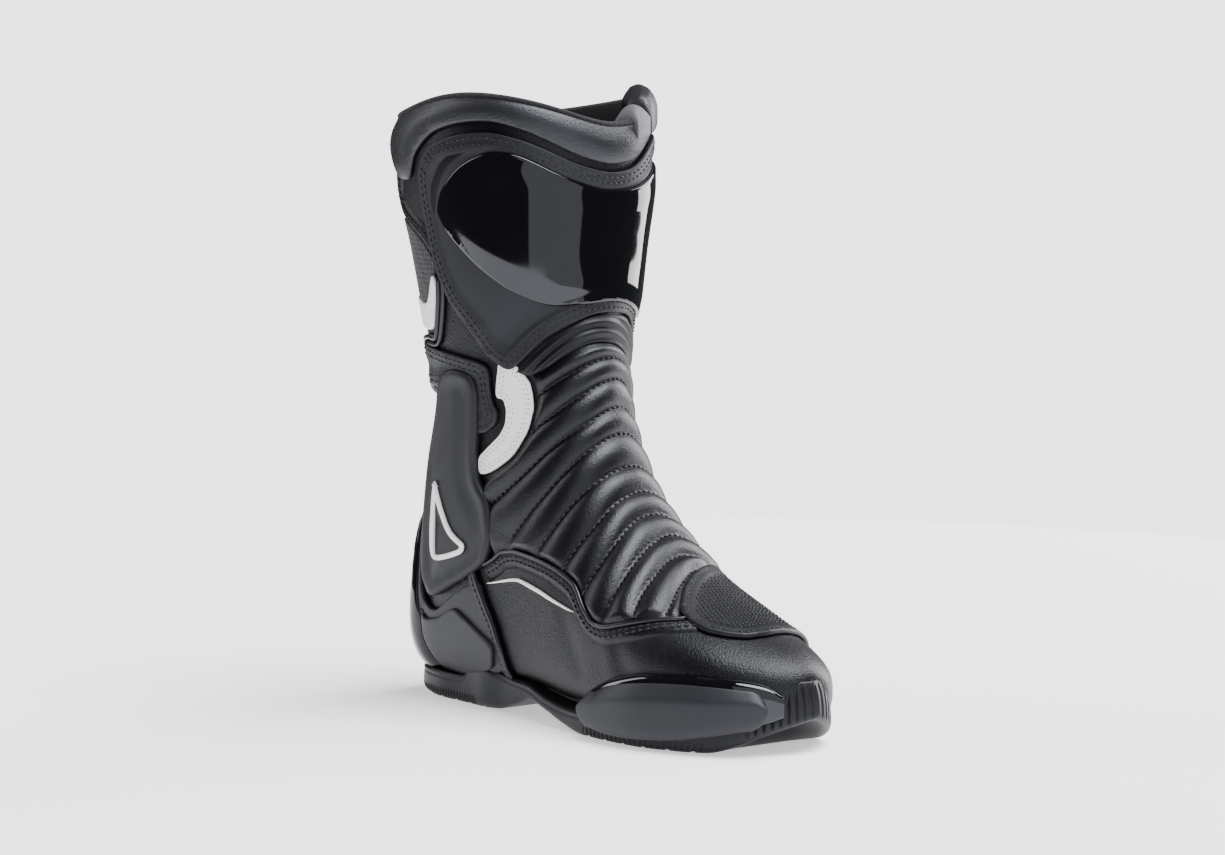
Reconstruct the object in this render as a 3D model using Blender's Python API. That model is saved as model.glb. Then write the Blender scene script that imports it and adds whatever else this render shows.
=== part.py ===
"""Motorcycle boot for the right foot, in metres.

X runs from the heel to the toe, Y to the medial side and Z up. The origin is on the floor under the heel.
The upper is a row of sections. Each lies in a plane that holds the Y direction and passes through a front
point and a back point, and is a rounded outline there. A place on the upper is a girth, in degrees from the
front line with lateral positive, and a station, which counts the sections from the toe to the collar.
"""

import math

import bmesh
import bpy
import numpy as np
from mathutils import Matrix, Vector

# Sizes of the last and the shaft
FOOT_LENGTH = 0.284
BALL_WIDTH = 0.092
CALF_WIDTH = 0.120
INSTEP_HEIGHT = 0.169
SHAFT_HEIGHT = 0.300
BED_HEIGHT = 0.0135
RIM_RISE = 0.020

# Walls and gaps
WALL = 0.003
GAP = 0.0004
INSOLE_THICKNESS = 0.005
LASTING_MARGIN = 0.016

# Sole
EDGE_HEIGHT = 0.015
ARCH_HEIGHT = 0.010
SOLE_CAP_INSET = 0.020
TREAD_EDGE = 0.003
LUG_DEPTH = 0.002
LUG_WIDTH = 0.0035
LUG_PITCH = 0.013
BUMPER_RIBS = 9
RIB_DEPTH = 0.0012
RIB_WIDTH = 0.0016
RIB_BEARINGS = (-22.0, 40.0)
SIDE_LEAN = 0.0012
RIM_LEAN = 0.08

# Shares of FOOT_LENGTH from the heel and from the toe where the sole's spine ends
SPINE_ENDS = (0.11, 0.13)
# Shares of FOOT_LENGTH between which the tread has lugs, and of BALL_WIDTH for their reach inwards
TREAD_ZONES = ((0.49, 0.74), (-0.06, 0.13))
LUG_REACH = 0.18
LUG_TURN = 12.0

# Overlays
PANEL = 0.0016
MOULDED = 0.0026
PLATE = 0.0022
PAD = 0.0045
SPOILER = 0.0036
BRACE = 0.0046
FLEX_RIDGE = 0.0022
SLIDER_HEIGHT = 0.038
SLIDER_BASE = 0.0024
SLIDER_FACE = 0.0032
FLEX_START = 10.03
FLEX_RIDGES = 3.0
SPOILER_SPAN = (8.6, 12.4)

# Mesh fineness: how many girths go round the upper
DIVISIONS = 30
GIRTH_STEP = 360 / DIVISIONS
LATERAL, MEDIAL = -1.0, 1.0

SECTION_NAMES = ("front_x", "front_z", "back_x", "back_z", "lateral", "medial", "middle",
                 "front_power", "back_power", "sway")

# Shares of FOOT_LENGTH in x and of BALL_WIDTH in width. front_z is a share of INSTEP_HEIGHT, and back_z
# of BED_HEIGHT, the height of the upper's underside under the heel.
FOOT_SECTIONS = (
    (0.866, 0.178, 0.866, 2.15, 0.005, 0.005, 0.50, 2.0, 2.0, 0.087),
    (0.856, 0.234, 0.856, 1.44, 0.152, 0.141, 0.55, 2.0, 2.6, 0.087),
    (0.820, 0.278, 0.820, 0.98, 0.293, 0.272, 0.58, 2.1, 3.8, 0.076),
    (0.743, 0.331, 0.743, 0.75, 0.446, 0.391, 0.60, 2.2, 4.8, 0.054),
    (0.641, 0.399, 0.641, 0.70, 0.522, 0.467, 0.62, 2.2, 5.0, 0.033),
    (0.542, 0.488, 0.525, 0.70, 0.533, 0.467, 0.64, 2.2, 5.0, 0.022),
    (0.456, 0.601, 0.401, 0.80, 0.500, 0.457, 0.64, 2.2, 4.8, 0.011),
    (0.387, 0.734, 0.275, 1.06, 0.466, 0.440, 0.62, 2.2, 4.4, 0.0),
    (0.345, 0.870, 0.141, 1.03, 0.447, 0.434, 0.60, 2.2, 4.0, 0.0),
    (0.320, 1.000, 0.006, 1.00, 0.440, 0.438, 0.56, 2.2, 3.6, 0.0),
)
# Shares of FOOT_LENGTH in x and of CALF_WIDTH in width. front_z is a share of the rise from the instep to
# the collar, and back_z of the rise from the bed to the collar.
SHAFT_SECTIONS = (
    (0.310, 0.153, -0.112, 0.013, 0.351, 0.356, 0.54, 2.2, 3.0, 0.008),
    (0.306, 0.282, -0.131, 0.115, 0.358, 0.364, 0.52, 2.2, 2.4, 0.008),
    (0.305, 0.397, -0.104, 0.310, 0.372, 0.378, 0.50, 2.2, 2.2, 0.017),
    (0.306, 0.504, -0.075, 0.452, 0.395, 0.390, 0.50, 2.2, 2.2, 0.017),
    (0.312, 0.618, -0.095, 0.598, 0.440, 0.408, 0.50, 2.2, 2.2, 0.025),
    (0.320, 0.748, -0.130, 0.749, 0.483, 0.445, 0.50, 2.2, 2.2, 0.033),
    (0.327, 0.878, -0.165, 0.888, 0.525, 0.473, 0.50, 2.2, 2.2, 0.033),
    (0.320, 1.000, -0.162, 1.000, 0.508, 0.466, 0.50, 2.2, 2.2, 0.042),
)
COLLAR = float(len(FOOT_SECTIONS) + len(SHAFT_SECTIONS) - 1)
RIM_START = COLLAR - 4.0
# Stations left free between the collar pad and the rim, and between the shin frame and the flex panel
RIM_MARGIN = 0.03
SEAM_MARGIN = 0.07

# Girth in degrees, and the collar's rise there as a share of RIM_RISE
RIM_SHARES = (
    (-180, 0.25), (-150, 0.35), (-110, 0.60), (-65, 0.85), (-40, 0.75), (-20, 0.35), (0, 0.15),
    (15, 0.40), (30, 0.70), (45, 0.90), (62, 1.00), (80, 0.95), (95, 0.80), (120, 0.50), (150, 0.35),
    (180, 0.25),
)

# Shares of FOOT_LENGTH for x, of BALL_WIDTH for the half widths, of EDGE_HEIGHT for the rim,
# of ARCH_HEIGHT for the tread's lift and of TREAD_EDGE for the rounding of the lower edge
SOLE_NAMES = ("x", "lateral", "medial", "rim", "lift", "edge")
SOLE_ROWS = (
    (-0.150, 0.000, 0.000, 1.00, 0.00, 2.0),
    (-0.144, 0.130, 0.130, 1.00, 0.00, 2.0),
    (-0.127, 0.217, 0.217, 1.00, 0.00, 1.9),
    (-0.092, 0.304, 0.304, 1.00, 0.00, 1.7),
    (-0.028, 0.359, 0.359, 0.97, 0.00, 1.2),
    (0.042, 0.370, 0.366, 0.95, 0.00, 1.0),
    (0.067, 0.376, 0.366, 1.10, 0.00, 1.0),
    (0.088, 0.380, 0.363, 1.72, 0.00, 1.0),
    (0.125, 0.388, 0.355, 1.70, 0.00, 1.0),
    (0.175, 0.397, 0.345, 1.45, 0.12, 1.0),
    (0.222, 0.415, 0.337, 1.30, 0.50, 1.0),
    (0.282, 0.442, 0.328, 1.20, 1.00, 1.0),
    (0.340, 0.475, 0.337, 0.95, 0.75, 1.0),
    (0.405, 0.505, 0.365, 0.80, 0.30, 1.0),
    (0.470, 0.535, 0.410, 0.78, 0.00, 1.0),
    (0.550, 0.555, 0.460, 0.82, 0.00, 1.0),
    (0.634, 0.543, 0.495, 0.85, 0.00, 1.0),
    (0.700, 0.480, 0.472, 0.90, 0.00, 1.0),
    (0.745, 0.425, 0.445, 1.00, 0.03, 1.0),
    (0.775, 0.375, 0.415, 1.90, 0.12, 1.0),
    (0.810, 0.290, 0.360, 2.25, 0.48, 1.0),
    (0.845, 0.165, 0.275, 2.45, 1.00, 1.1),
    (0.868, 0.030, 0.180, 2.53, 1.40, 1.2),
    (0.879, -0.087, 0.092, 2.53, 1.65, 1.2),
)

# Shares of FOOT_LENGTH for x, and of SLIDER_HEIGHT for the lower and upper edge
SLIDER_ROWS = (
    (0.491, 0.35, 0.48), (0.507, 0.21, 0.64), (0.535, 0.14, 0.77), (0.574, 0.10, 0.89),
    (0.634, 0.10, 0.98), (0.704, 0.13, 1.02), (0.760, 0.20, 1.02), (0.810, 0.29, 0.99),
    (0.842, 0.38, 0.92), (0.857, 0.46, 0.80),
)
# The block's section: a share of its thickness outwards, and a share of its height upwards
SLIDER_PROFILE = ((0.0, 0.12), (0.0, 0.88), (0.65, 1.0), (1.0, 0.80), (1.0, 0.22), (0.75, 0.0))

# Outlines of the overlays, as girth in degrees and station. Pieces that lie edge to edge share an edge.
COLLAR_EDGE = (
    (-58, 16.50), (-30, 16.40), (-14, 15.92), (0, 15.82), (17, 15.92), (36, 16.25), (52, 16.42),
    (70, 16.40), (88, 16.34), (101, 16.10), (108, 15.75), (118, 15.85), (132, 16.20), (150, 16.30),
    (180, 16.30), (212, 16.35),
)
FRAME_FOOT = ((-62, 12.15), (-34, 11.68), (-14, 11.50), (-6, 11.22), (8, 11.06), (17, 11.20), (29, 11.19))
FRAME_OUTLINE = (
    (98, 15.85), (88, 16.10), (70, 16.17), (52, 16.18), (36, 16.02), (17, 15.70), (0, 15.60), (-13, 15.68),
    (-30, 16.20), (-58, 16.28), (-82, 16.12), (-87, 15.60), (-88, 13.50), (-85, 12.75), *FRAME_FOOT,
    (41, 11.62), (58, 12.20), (78, 13.17), (94, 13.90), (101, 14.47), (102, 15.20),
)
PLATE_OUTLINE = (
    (89, 15.10), (84, 15.35), (70, 15.63), (53, 15.82), (40, 15.76), (22, 15.35), (4, 15.12), (-14, 15.16),
    (-38, 15.55), (-60, 15.80), (-74, 15.72), (-77, 15.10), (-78, 13.90), (-70, 13.30), (-42, 12.35),
    (-14, 11.72), (4, 11.45), (17, 11.87), (36, 12.87), (56, 13.70), (72, 14.30), (84, 14.77),
)
FLEX_OUTLINE = (
    (27, 11.05), (20, 10.55), (15, 10.32), (7, 10.22), (-8, 10.24), (-20, 10.58), (-36, 11.15), (-60, 11.85),
)
FLEX_STATIONS = (10.2, 10.35, 10.7, 10.85, 11.2, 11.35)
CALF_GUARD_OUTLINE = (
    (139, 13.90), (118, 13.47), (92, 12.90), (70, 12.35), (54, 11.90), (42, 11.15), (36, 10.75), (36, 10.50),
    (47, 10.74), (78, 11.74), (106, 12.60), (125, 12.94), (141, 13.30), (180, 13.35), (205, 13.60),
    (205, 14.10), (180, 13.95),
)
BRACE_OUTLINE = (
    (99, 12.80), (75, 12.20), (60, 11.65), (52, 11.01), (52, 10.20), (53, 9.30), (66, 8.74), (86, 8.64),
    (113, 9.07), (137, 9.71), (140, 10.20), (140, 11.00), (139, 11.87), (127, 12.40), (122, 12.90),
    (112, 13.00),
)
INLAY_OUTLINE = ((117, 11.45), (95, 10.30), (88, 9.35), (97, 9.28), (124, 10.08), (122, 10.80))
FRONT_TRIM_OUTLINE = (
    (43, 11.50), (34, 11.12), (27, 10.78), (22, 10.45), (20, 10.10), (20, 9.88), (25, 9.62), (34, 9.62),
    (46, 9.98), (47, 10.20), (40, 10.15), (30, 10.02), (28, 10.30), (30, 10.70), (38, 11.10),
)
REAR_TRIM_OUTLINE = (
    (150, 14.55), (136, 14.42), (118, 14.12), (106, 14.45), (104, 14.20), (117, 13.72), (140, 14.12),
    (152, 14.25),
)
FLAP_OUTLINE = (
    (-62, 16.97), (-144, 16.97), (-147, 16.10), (-140, 15.20), (-128, 14.20), (-120, 13.20), (-112, 12.30),
    (-100, 11.90), (-91, 12.60), (-92, 13.50), (-91, 15.80), (-84, 16.32), (-62, 16.48),
)
COUNTER_OUTLINE = (
    (104, 8.70), (110, 8.45), (118, 8.00), (130, 7.62), (140, 7.62), (150, 8.40), (157, 9.10), (166, 9.75),
    (180, 10.15), (194, 9.75), (203, 9.10), (210, 8.40), (222, 7.62), (235, 7.62), (244, 8.00), (254, 8.70),
    (256, 9.30), (248, 10.20), (234, 11.20), (215, 11.90), (180, 12.20), (155, 12.10), (145, 11.80),
    (145, 11.00), (145, 10.10), (141, 9.55), (128, 9.28), (113, 8.90),
)
SPOILER_OUTLINE = (
    (180, 12.00), (160, 11.80), (151, 11.30), (148, 10.60), (147, 10.00), (143, 9.60), (134, 9.22), (132, 8.80),
    (145, 8.55), (156, 9.15), (166, 9.80), (180, 10.20), (194, 9.80), (204, 9.15), (215, 8.55), (228, 8.70),
    (227, 9.10), (221, 9.90), (217, 10.60), (212, 11.30), (200, 11.80),
)
PATCH_OUTLINE = (
    (43, 3.72), (37, 4.10), (12, 4.60), (-12, 4.95), (-36, 5.30), (-60, 5.62), (-80, 5.62), (-104, 5.35),
    (-120, 5.25), (-120, 3.75), (-88, 3.52), (-60, 3.20), (-34, 2.95), (0, 2.80), (26, 2.85), (38, 3.10),
    (44, 3.40),
)


def sections():
    """The sections in metres, as one array for each named column."""
    foot = np.array(FOOT_SECTIONS)
    shaft = np.array(SHAFT_SECTIONS)
    x_columns = [SECTION_NAMES.index(name) for name in ("front_x", "back_x")]
    width_columns = [SECTION_NAMES.index(name) for name in ("lateral", "medial", "sway")]
    front_z = SECTION_NAMES.index("front_z")
    back_z = SECTION_NAMES.index("back_z")
    foot[:, front_z] *= INSTEP_HEIGHT
    foot[:, back_z] *= BED_HEIGHT
    shaft[:, front_z] = INSTEP_HEIGHT + shaft[:, front_z] * (SHAFT_HEIGHT - INSTEP_HEIGHT)
    shaft[:, back_z] = BED_HEIGHT + shaft[:, back_z] * (SHAFT_HEIGHT - BED_HEIGHT)
    foot[:, width_columns] *= BALL_WIDTH
    shaft[:, width_columns] *= CALF_WIDTH
    rows = np.concatenate([foot, shaft])
    rows[:, x_columns] *= FOOT_LENGTH
    return dict(zip(SECTION_NAMES, rows.T))


SECTIONS = sections()


def along(values, station):
    """A column read between its rows with a smooth curve."""
    last = len(values) - 1
    station = np.clip(station, 0, last)
    row = np.minimum(station.astype(int), last - 1)
    part = station - row
    slope = np.gradient(values)
    return ((1 + 2 * part) * (1 - part) ** 2 * values[row] + part * (1 - part) ** 2 * slope[row]
            + part**2 * (3 - 2 * part) * values[row + 1] + part**2 * (part - 1) * slope[row + 1])


def smoothstep(value):
    value = np.clip(value, 0, 1)
    return value * value * (3 - 2 * value)


def rim_lift(girth, station):
    """How far the collar rises above its plain plane."""
    table = np.array(RIM_SHARES, float)
    spread = np.arange(-16, 17, 4.0)
    weight = np.exp(-0.5 * (spread / 8.0) ** 2)
    wrapped = (girth[..., None] + spread + 180) % 360 - 180
    share = (np.interp(wrapped, table[:, 0], table[:, 1]) * weight).sum(-1) / weight.sum()
    return RIM_RISE * share * smoothstep((station - RIM_START) / (COLLAR - RIM_START))


def form(girth, station):
    """Points of the upper's outer form."""
    girth, station = np.broadcast_arrays(np.asarray(girth, float), np.asarray(station, float))
    girth = (girth + 180) % 360 - 180
    row = {name: along(values, station) for name, values in SECTIONS.items()}
    across = row["front_x"] - row["back_x"]
    up = row["front_z"] - row["back_z"]
    depth = np.hypot(across, up)
    middle = row["middle"]
    front = np.abs(girth) <= 90
    reach = np.where(front, middle, 1 - middle) * depth
    width = np.where(girth >= 0, row["lateral"], row["medial"])
    cosine = np.cos(np.radians(girth))
    sine = np.sin(np.radians(np.abs(girth)))
    power = row["front_power"] + (row["back_power"] - row["front_power"]) * smoothstep((1 - cosine) / 2)
    radius = ((np.abs(cosine) / reach) ** power + (sine / width) ** power) ** (-1 / power)
    x = row["front_x"] - across * middle + radius * cosine * across / depth
    z = row["front_z"] - up * middle + radius * cosine * up / depth + rim_lift(girth, station)
    y = row["sway"] - np.sign(girth) * radius * sine
    return np.stack([x, y, z], -1)


def skin(girth, station, offset=0.0):
    """Points at a distance outside the upper's form, and inside it where the distance is negative."""
    turn, step = 0.3, 0.01
    girth, station = np.broadcast_arrays(np.asarray(girth, float), np.asarray(station, float))
    around = form(girth + turn, station) - form(girth - turn, station)
    upwards = form(girth, np.minimum(station + step, COLLAR)) - form(girth, np.maximum(station - step, 0))
    normal = np.cross(upwards, around)
    normal /= np.linalg.norm(normal, axis=-1, keepdims=True) + 1e-12
    offset = np.asarray(offset, float)
    return form(girth, station) + normal * offset[..., None]


def girths():
    return np.arange(-180.0, 180.0, GIRTH_STEP)


def stations():
    """Stations of the mesh: closer together over the toe and round the heel than up the shaft."""
    toe = [0.3, 0.65, 1.0, 1.5, 2.0]
    whole = [3.0, 4.0, 5.0, 6.0]
    halves = np.arange(7.0, 14.5, 0.5)
    return np.array([*toe, *whole, *halves, 15.0, 16.0, COLLAR - 0.5, COLLAR])


def new_object(mesh, name, collection, material=None):
    data = bpy.data.meshes.new(name)
    mesh.to_mesh(data)
    mesh.free()
    thing = bpy.data.objects.new(name, data)
    collection.objects.link(thing)
    if material:
        data.materials.append(material)
    return thing


def loft(rings, closed_ends=(True, True), diagonals="FIXED"):
    """A mesh through rings of points, each ring running the same way, with its ends closed or open.

    Two lofts that lie close together need their diagonals to run the same way, or they cut each other.
    """
    mesh = bmesh.new()
    made = [[mesh.verts.new(point) for point in ring] for ring in rings]
    for lower, upper in zip(made, made[1:]):
        for i in range(len(lower)):
            j = (i + 1) % len(lower)
            mesh.faces.new((lower[i], lower[j], upper[j], upper[i]))
    for ring, closed, turned in ((made[0], closed_ends[0], True), (made[-1], closed_ends[1], False)):
        if closed:
            middle = mesh.verts.new(sum((v.co for v in ring), Vector()) / len(ring))
            for i in range(len(ring)):
                pair = (ring[i], ring[(i + 1) % len(ring)])
                mesh.faces.new((*(reversed(pair) if turned else pair), middle))
    bmesh.ops.triangulate(mesh, faces=mesh.faces[:], quad_method=diagonals)
    return mesh


def form_mesh(offset, diagonals="FIXED"):
    """The whole form at a distance from the upper's outer face."""
    around = girths()[::-1]
    rings = [skin(around, np.full_like(around, station), offset) for station in stations()]
    return loft(rings, diagonals=diagonals)


def cut(thing, cutter, operation="DIFFERENCE"):
    """Applies a Boolean at once, with the modifiers before it, and removes the cutter."""
    modifier = thing.modifiers.new("cut", "BOOLEAN")
    modifier.operation = operation
    modifier.object = cutter
    modifier.solver = "EXACT"
    bpy.context.view_layer.update()
    graph = bpy.context.evaluated_depsgraph_get()
    shaped = bpy.data.meshes.new_from_object(thing.evaluated_get(graph))
    thing.modifiers.clear()
    old = thing.data
    thing.data = shaped
    bpy.data.meshes.remove(old)
    bpy.data.objects.remove(cutter)


def facet(girth, station, offset):
    """Points over the flat triangles of the upper's mesh, so that an overlay's gap is even."""
    rows = stations()
    index = np.clip(np.searchsorted(rows, station, side="right") - 1, 0, len(rows) - 2)
    low, high = rows[index], rows[index + 1]
    left = np.floor(girth / GIRTH_STEP + 1e-6) * GIRTH_STEP
    right = left + GIRTH_STEP
    u = ((girth - left) / GIRTH_STEP)[:, None]
    v = ((station - low) / (high - low))[:, None]
    falling_low, falling_high = skin(right, low, offset), skin(left, high, offset)
    first, second = skin(left, low, offset), skin(right, high, offset)
    under = first + u * (falling_low - first) + v * (falling_high - first)
    over = second + (1 - u) * (falling_high - second) + (1 - v) * (falling_low - second)
    return np.where(u + v <= 1, under, over)


def rounded(points, rounds):
    """An outline with its corners cut again and again, which leaves soft curves."""
    points = np.array(points, float)
    for _ in range(rounds):
        following = np.roll(points, -1, axis=0)
        points = np.stack([points * 0.75 + following * 0.25, points * 0.25 + following * 0.75], 1).reshape(-1, 2)
    return points


def grown(outline, share):
    """An outline made larger round its own middle."""
    points = np.array(outline, float)
    middle = points.mean(axis=0)
    return middle + (points - middle) * share


def split_on_lines(mesh, values, direction):
    for value in values:
        everything = mesh.verts[:] + mesh.edges[:] + mesh.faces[:]
        bmesh.ops.bisect_plane(mesh, geom=everything, plane_co=direction * value, plane_no=direction, dist=1e-4)


def split_on_diagonals(mesh):
    """Cuts each cell from its far girth to its far station, as the upper's own cells are cut."""
    rows = stations()
    for face in mesh.faces[:]:
        row = rows[rows <= face.calc_center_median().y].max(initial=rows[0])
        height = rows[min(np.searchsorted(rows, row) + 1, len(rows) - 1)] - row
        fall = {vert: vert.co.x / GIRTH_STEP - vert.co.y / max(height, 0.1) for vert in face.verts}
        ends = max(fall, key=fall.get), min(fall, key=fall.get)
        joined = any(set(edge.verts) == set(ends) for edge in face.edges)
        if len(face.verts) > 3 and not joined:
            bmesh.utils.face_split(face, *ends)


def overlay(name, outline, thickness, parts, material, gap=GAP, relief=None, rounds=1, extra=()):
    """A piece that follows the form, inside an outline of girths and stations, between two offsets.

    relief gives the outer face's height over the gap at each girth and station, in place of thickness, and
    extra adds stations where the relief needs them.
    """
    mesh = bmesh.new()
    mesh.faces.new([mesh.verts.new((girth, station, 0)) for girth, station in rounded(outline, rounds)])
    split_on_lines(mesh, np.arange(-30, 31) * GIRTH_STEP, Vector((1, 0, 0)))
    split_on_lines(mesh, [*stations(), *extra], Vector((0, 1, 0)))
    split_on_diagonals(mesh)
    bmesh.ops.triangulate(mesh, faces=mesh.faces[:])
    raised = bmesh.ops.extrude_face_region(mesh, geom=mesh.faces[:], use_keep_orig=True)
    for item in raised["geom"]:
        if isinstance(item, bmesh.types.BMVert):
            item.co.z = 1
    places = np.array([vert.co for vert in mesh.verts])
    girth, station, up = places.T
    height = relief(girth, station) if relief else thickness
    for vert, point in zip(mesh.verts, facet(girth, station, gap + up * height)):
        vert.co = point
    bmesh.ops.recalc_face_normals(mesh, faces=mesh.faces[:])
    return new_object(mesh, name, parts, material)


def sole_columns():
    """The sole's columns in metres."""
    sizes = (FOOT_LENGTH, BALL_WIDTH, BALL_WIDTH, EDGE_HEIGHT, ARCH_HEIGHT, TREAD_EDGE)
    rows = np.array(SOLE_ROWS) * sizes
    return dict(zip(SOLE_NAMES, rows.T))


def round_trip(column):
    """A column's values from the heel to the toe on the lateral side and back on the medial side."""
    return np.concatenate([column, column[-2:0:-1]])


def sole_ring(rows, inset, height):
    """A ring of points along the sole's outline, moved in towards the middle of the sole."""
    lateral = np.stack([rows["x"], LATERAL * rows["lateral"]], 1)
    medial = np.stack([rows["x"], MEDIAL * rows["medial"]], 1)
    plan = np.concatenate([lateral, medial[-2:0:-1]])
    heel, toe = (FOOT_LENGTH * share for share in SPINE_ENDS)
    spine_x = np.clip(plan[:, 0], rows["x"][0] + heel, rows["x"][-1] - toe)
    spine_y = np.interp(spine_x, rows["x"], (rows["medial"] - rows["lateral"]) / 2)
    inwards = np.stack([spine_x, spine_y], 1) - plan
    inwards /= np.linalg.norm(inwards, axis=1, keepdims=True)
    moved = plan + inwards * np.asarray(inset, float).reshape(-1, 1)
    return np.column_stack([moved, height])


def bed_height(x):
    """Height of the upper's underside at a distance along the foot."""
    rows = slice(len(FOOT_SECTIONS), None, -1)
    return np.interp(x, SECTIONS["back_x"][rows], SECTIONS["back_z"][rows])


def closed_prism(rings):
    """A mesh through rings of the sole's outline, closed straight across at its two ends."""
    mesh = loft(rings, (False, False))
    mesh.verts.ensure_lookup_table()
    count = len(rings[0])
    for first, turned in ((0, False), (len(mesh.verts) - count, True)):
        ring = mesh.verts[first:first + count]
        for i in range(count // 2):
            corners = list(dict.fromkeys([ring[i], ring[i + 1], ring[-i - 1], ring[-i % count]]))
            mesh.faces.new(reversed(corners) if turned else corners)
    bmesh.ops.recalc_face_normals(mesh, faces=mesh.faces[:])
    return mesh


def sole_body(grow=0.0):
    """The sole before the upper is cut from it, as a closed mesh, grown by a clearance."""
    rows = sole_columns()
    lift, rim, edge = (round_trip(rows[name]) for name in ("lift", "rim", "edge"))
    lean = SIDE_LEAN + RIM_LEAN * np.maximum(rim - EDGE_HEIGHT, 0)
    cap = bed_height(round_trip(rows["x"])) + 0.5 * BED_HEIGHT
    levels = (
        (edge - grow, lift - grow),
        (edge * 0.3 - grow, lift + edge * 0.3 - grow),
        (0 * edge - grow, lift + edge),
        (0 * edge - grow, rim - lean),
        (lean - grow, rim + grow),
        (0 * edge + SOLE_CAP_INSET, np.maximum(cap, rim) + grow),
    )
    return closed_prism([sole_ring(rows, inset, height) for inset, height in levels])


def boxes(places, size):
    """One mesh of equal boxes, each with its own middle and turn about Z."""
    mesh = bmesh.new()
    for x, y, z, turn in places:
        made = bmesh.ops.create_cube(mesh, size=1.0)["verts"]
        bmesh.ops.scale(mesh, vec=size, verts=made)
        bmesh.ops.rotate(mesh, cent=(0, 0, 0), matrix=Matrix.Rotation(math.radians(turn), 3, "Z"), verts=made)
        bmesh.ops.translate(mesh, vec=(x, y, z), verts=made)
    return mesh


def tread_grooves():
    """Boxes across the edges of the forefoot and the heel, which leave the lugs between them."""
    rows = sole_columns()
    places = []
    for start, end in TREAD_ZONES:
        count = int((end - start) * FOOT_LENGTH / LUG_PITCH)
        for i in range(count + 1):
            x = (start + (end - start) * i / count) * FOOT_LENGTH
            for side, column in ((LATERAL, "lateral"), (MEDIAL, "medial")):
                y = side * np.interp(x, rows["x"], rows[column])
                places.append((x, y, 0, side * LUG_TURN))
    return boxes(places, (LUG_WIDTH, 2 * LUG_REACH * BALL_WIDTH, 2 * LUG_DEPTH))


def bumper_grooves():
    """Upright grooves round the toe, which leave the bumper's ribs between them."""
    rows = sole_columns()
    ring = sole_ring(rows, 0, round_trip(rows["lift"]))
    middle = (rows["x"][-1] - FOOT_LENGTH * SPINE_ENDS[1], BALL_WIDTH * 0.09)
    bearing = np.degrees(np.arctan2(ring[:, 1] - middle[1], ring[:, 0] - middle[0]))
    order = np.argsort(bearing)
    places = []
    for turn in np.linspace(*RIB_BEARINGS, BUMPER_RIBS):
        x, y = (np.interp(turn, bearing[order], ring[order, k]) for k in (0, 1))
        places.append((x, y, EDGE_HEIGHT * 1.45, turn))
    return boxes(places, (2 * RIB_DEPTH, RIB_WIDTH, EDGE_HEIGHT * 1.1))


def make_outsole(parts, material):
    outsole = new_object(sole_body(), "outsole", parts, material)
    cut(outsole, new_object(form_mesh(GAP), "upper_room", parts))
    cut(outsole, new_object(tread_grooves(), "tread_cutter", parts))
    cut(outsole, new_object(bumper_grooves(), "bumper_cutter", parts))
    return outsole


def foot_plan(inset, low, high):
    """A prism on the sole's outline moved in by a distance, between two heights."""
    rows = sole_columns()
    ones = np.ones(len(round_trip(rows["x"])))
    return loft([sole_ring(rows, inset, ones * low), sole_ring(rows, inset, ones * high)])


def make_upper(parts, material):
    """The hollow upper: out along the form and back inside its wall, with the lasting opening cut."""
    around = girths()[::-1]
    places = [(station, 0.0) for station in stations()]
    places += [(station, -WALL) for station in stations()[:0:-1]]
    rings = [skin(around, np.full_like(around, station), offset) for station, offset in places]
    upper = new_object(loft(rings), "upper", parts, material)
    opening = new_object(foot_plan(LASTING_MARGIN, -BED_HEIGHT, 2.2 * BED_HEIGHT), "opening", parts)
    cut(upper, opening)
    return upper


def make_insole(parts, material):
    """The footbed: the inside of the upper up to its own thickness above the lasting margin."""
    inside = form_mesh(-WALL - GAP, diagonals="ALTERNATE")
    insole = new_object(inside, "insole", parts, material)
    rows = sole_columns()
    ones = np.ones(len(round_trip(rows["x"])))
    top = bed_height(round_trip(rows["x"])) + WALL + GAP + INSOLE_THICKNESS
    room = closed_prism([sole_ring(rows, -BALL_WIDTH * 0.2, height) for height in (-BED_HEIGHT * ones, top)])
    cut(insole, new_object(room, "bed_room", parts), "INTERSECT")
    return insole


def between(value, low, high):
    """Zero at both ends of a range, one in its middle and round between them."""
    share = np.clip((value - low) / (high - low), 0, 1)
    return 4 * share * (1 - share)


def pad_relief(girth, station):
    """The collar pad swells between its lower seam and the rim."""
    edge = np.array(COLLAR_EDGE)
    start = edge[0, 0]
    low = np.interp((girth - start) % 360 + start, edge[:, 0], edge[:, 1])
    return PANEL + (PAD - PANEL) * between(station, low - 2 * RIM_MARGIN, COLLAR)


def flex_relief(girth, station):
    """Three ridges run across under the shin."""
    return PANEL + FLEX_RIDGE * np.sin((station - FLEX_START) * FLEX_RIDGES * math.pi) ** 2


def spoiler_relief(girth, station):
    """The heel cup is thickest low down at the back, and thins towards its edges."""
    rear = np.cos(np.radians(girth - 180)) ** 2
    return PANEL + (SPOILER - PANEL) * rear * np.sqrt(between(station, *SPOILER_SPAN))


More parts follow.
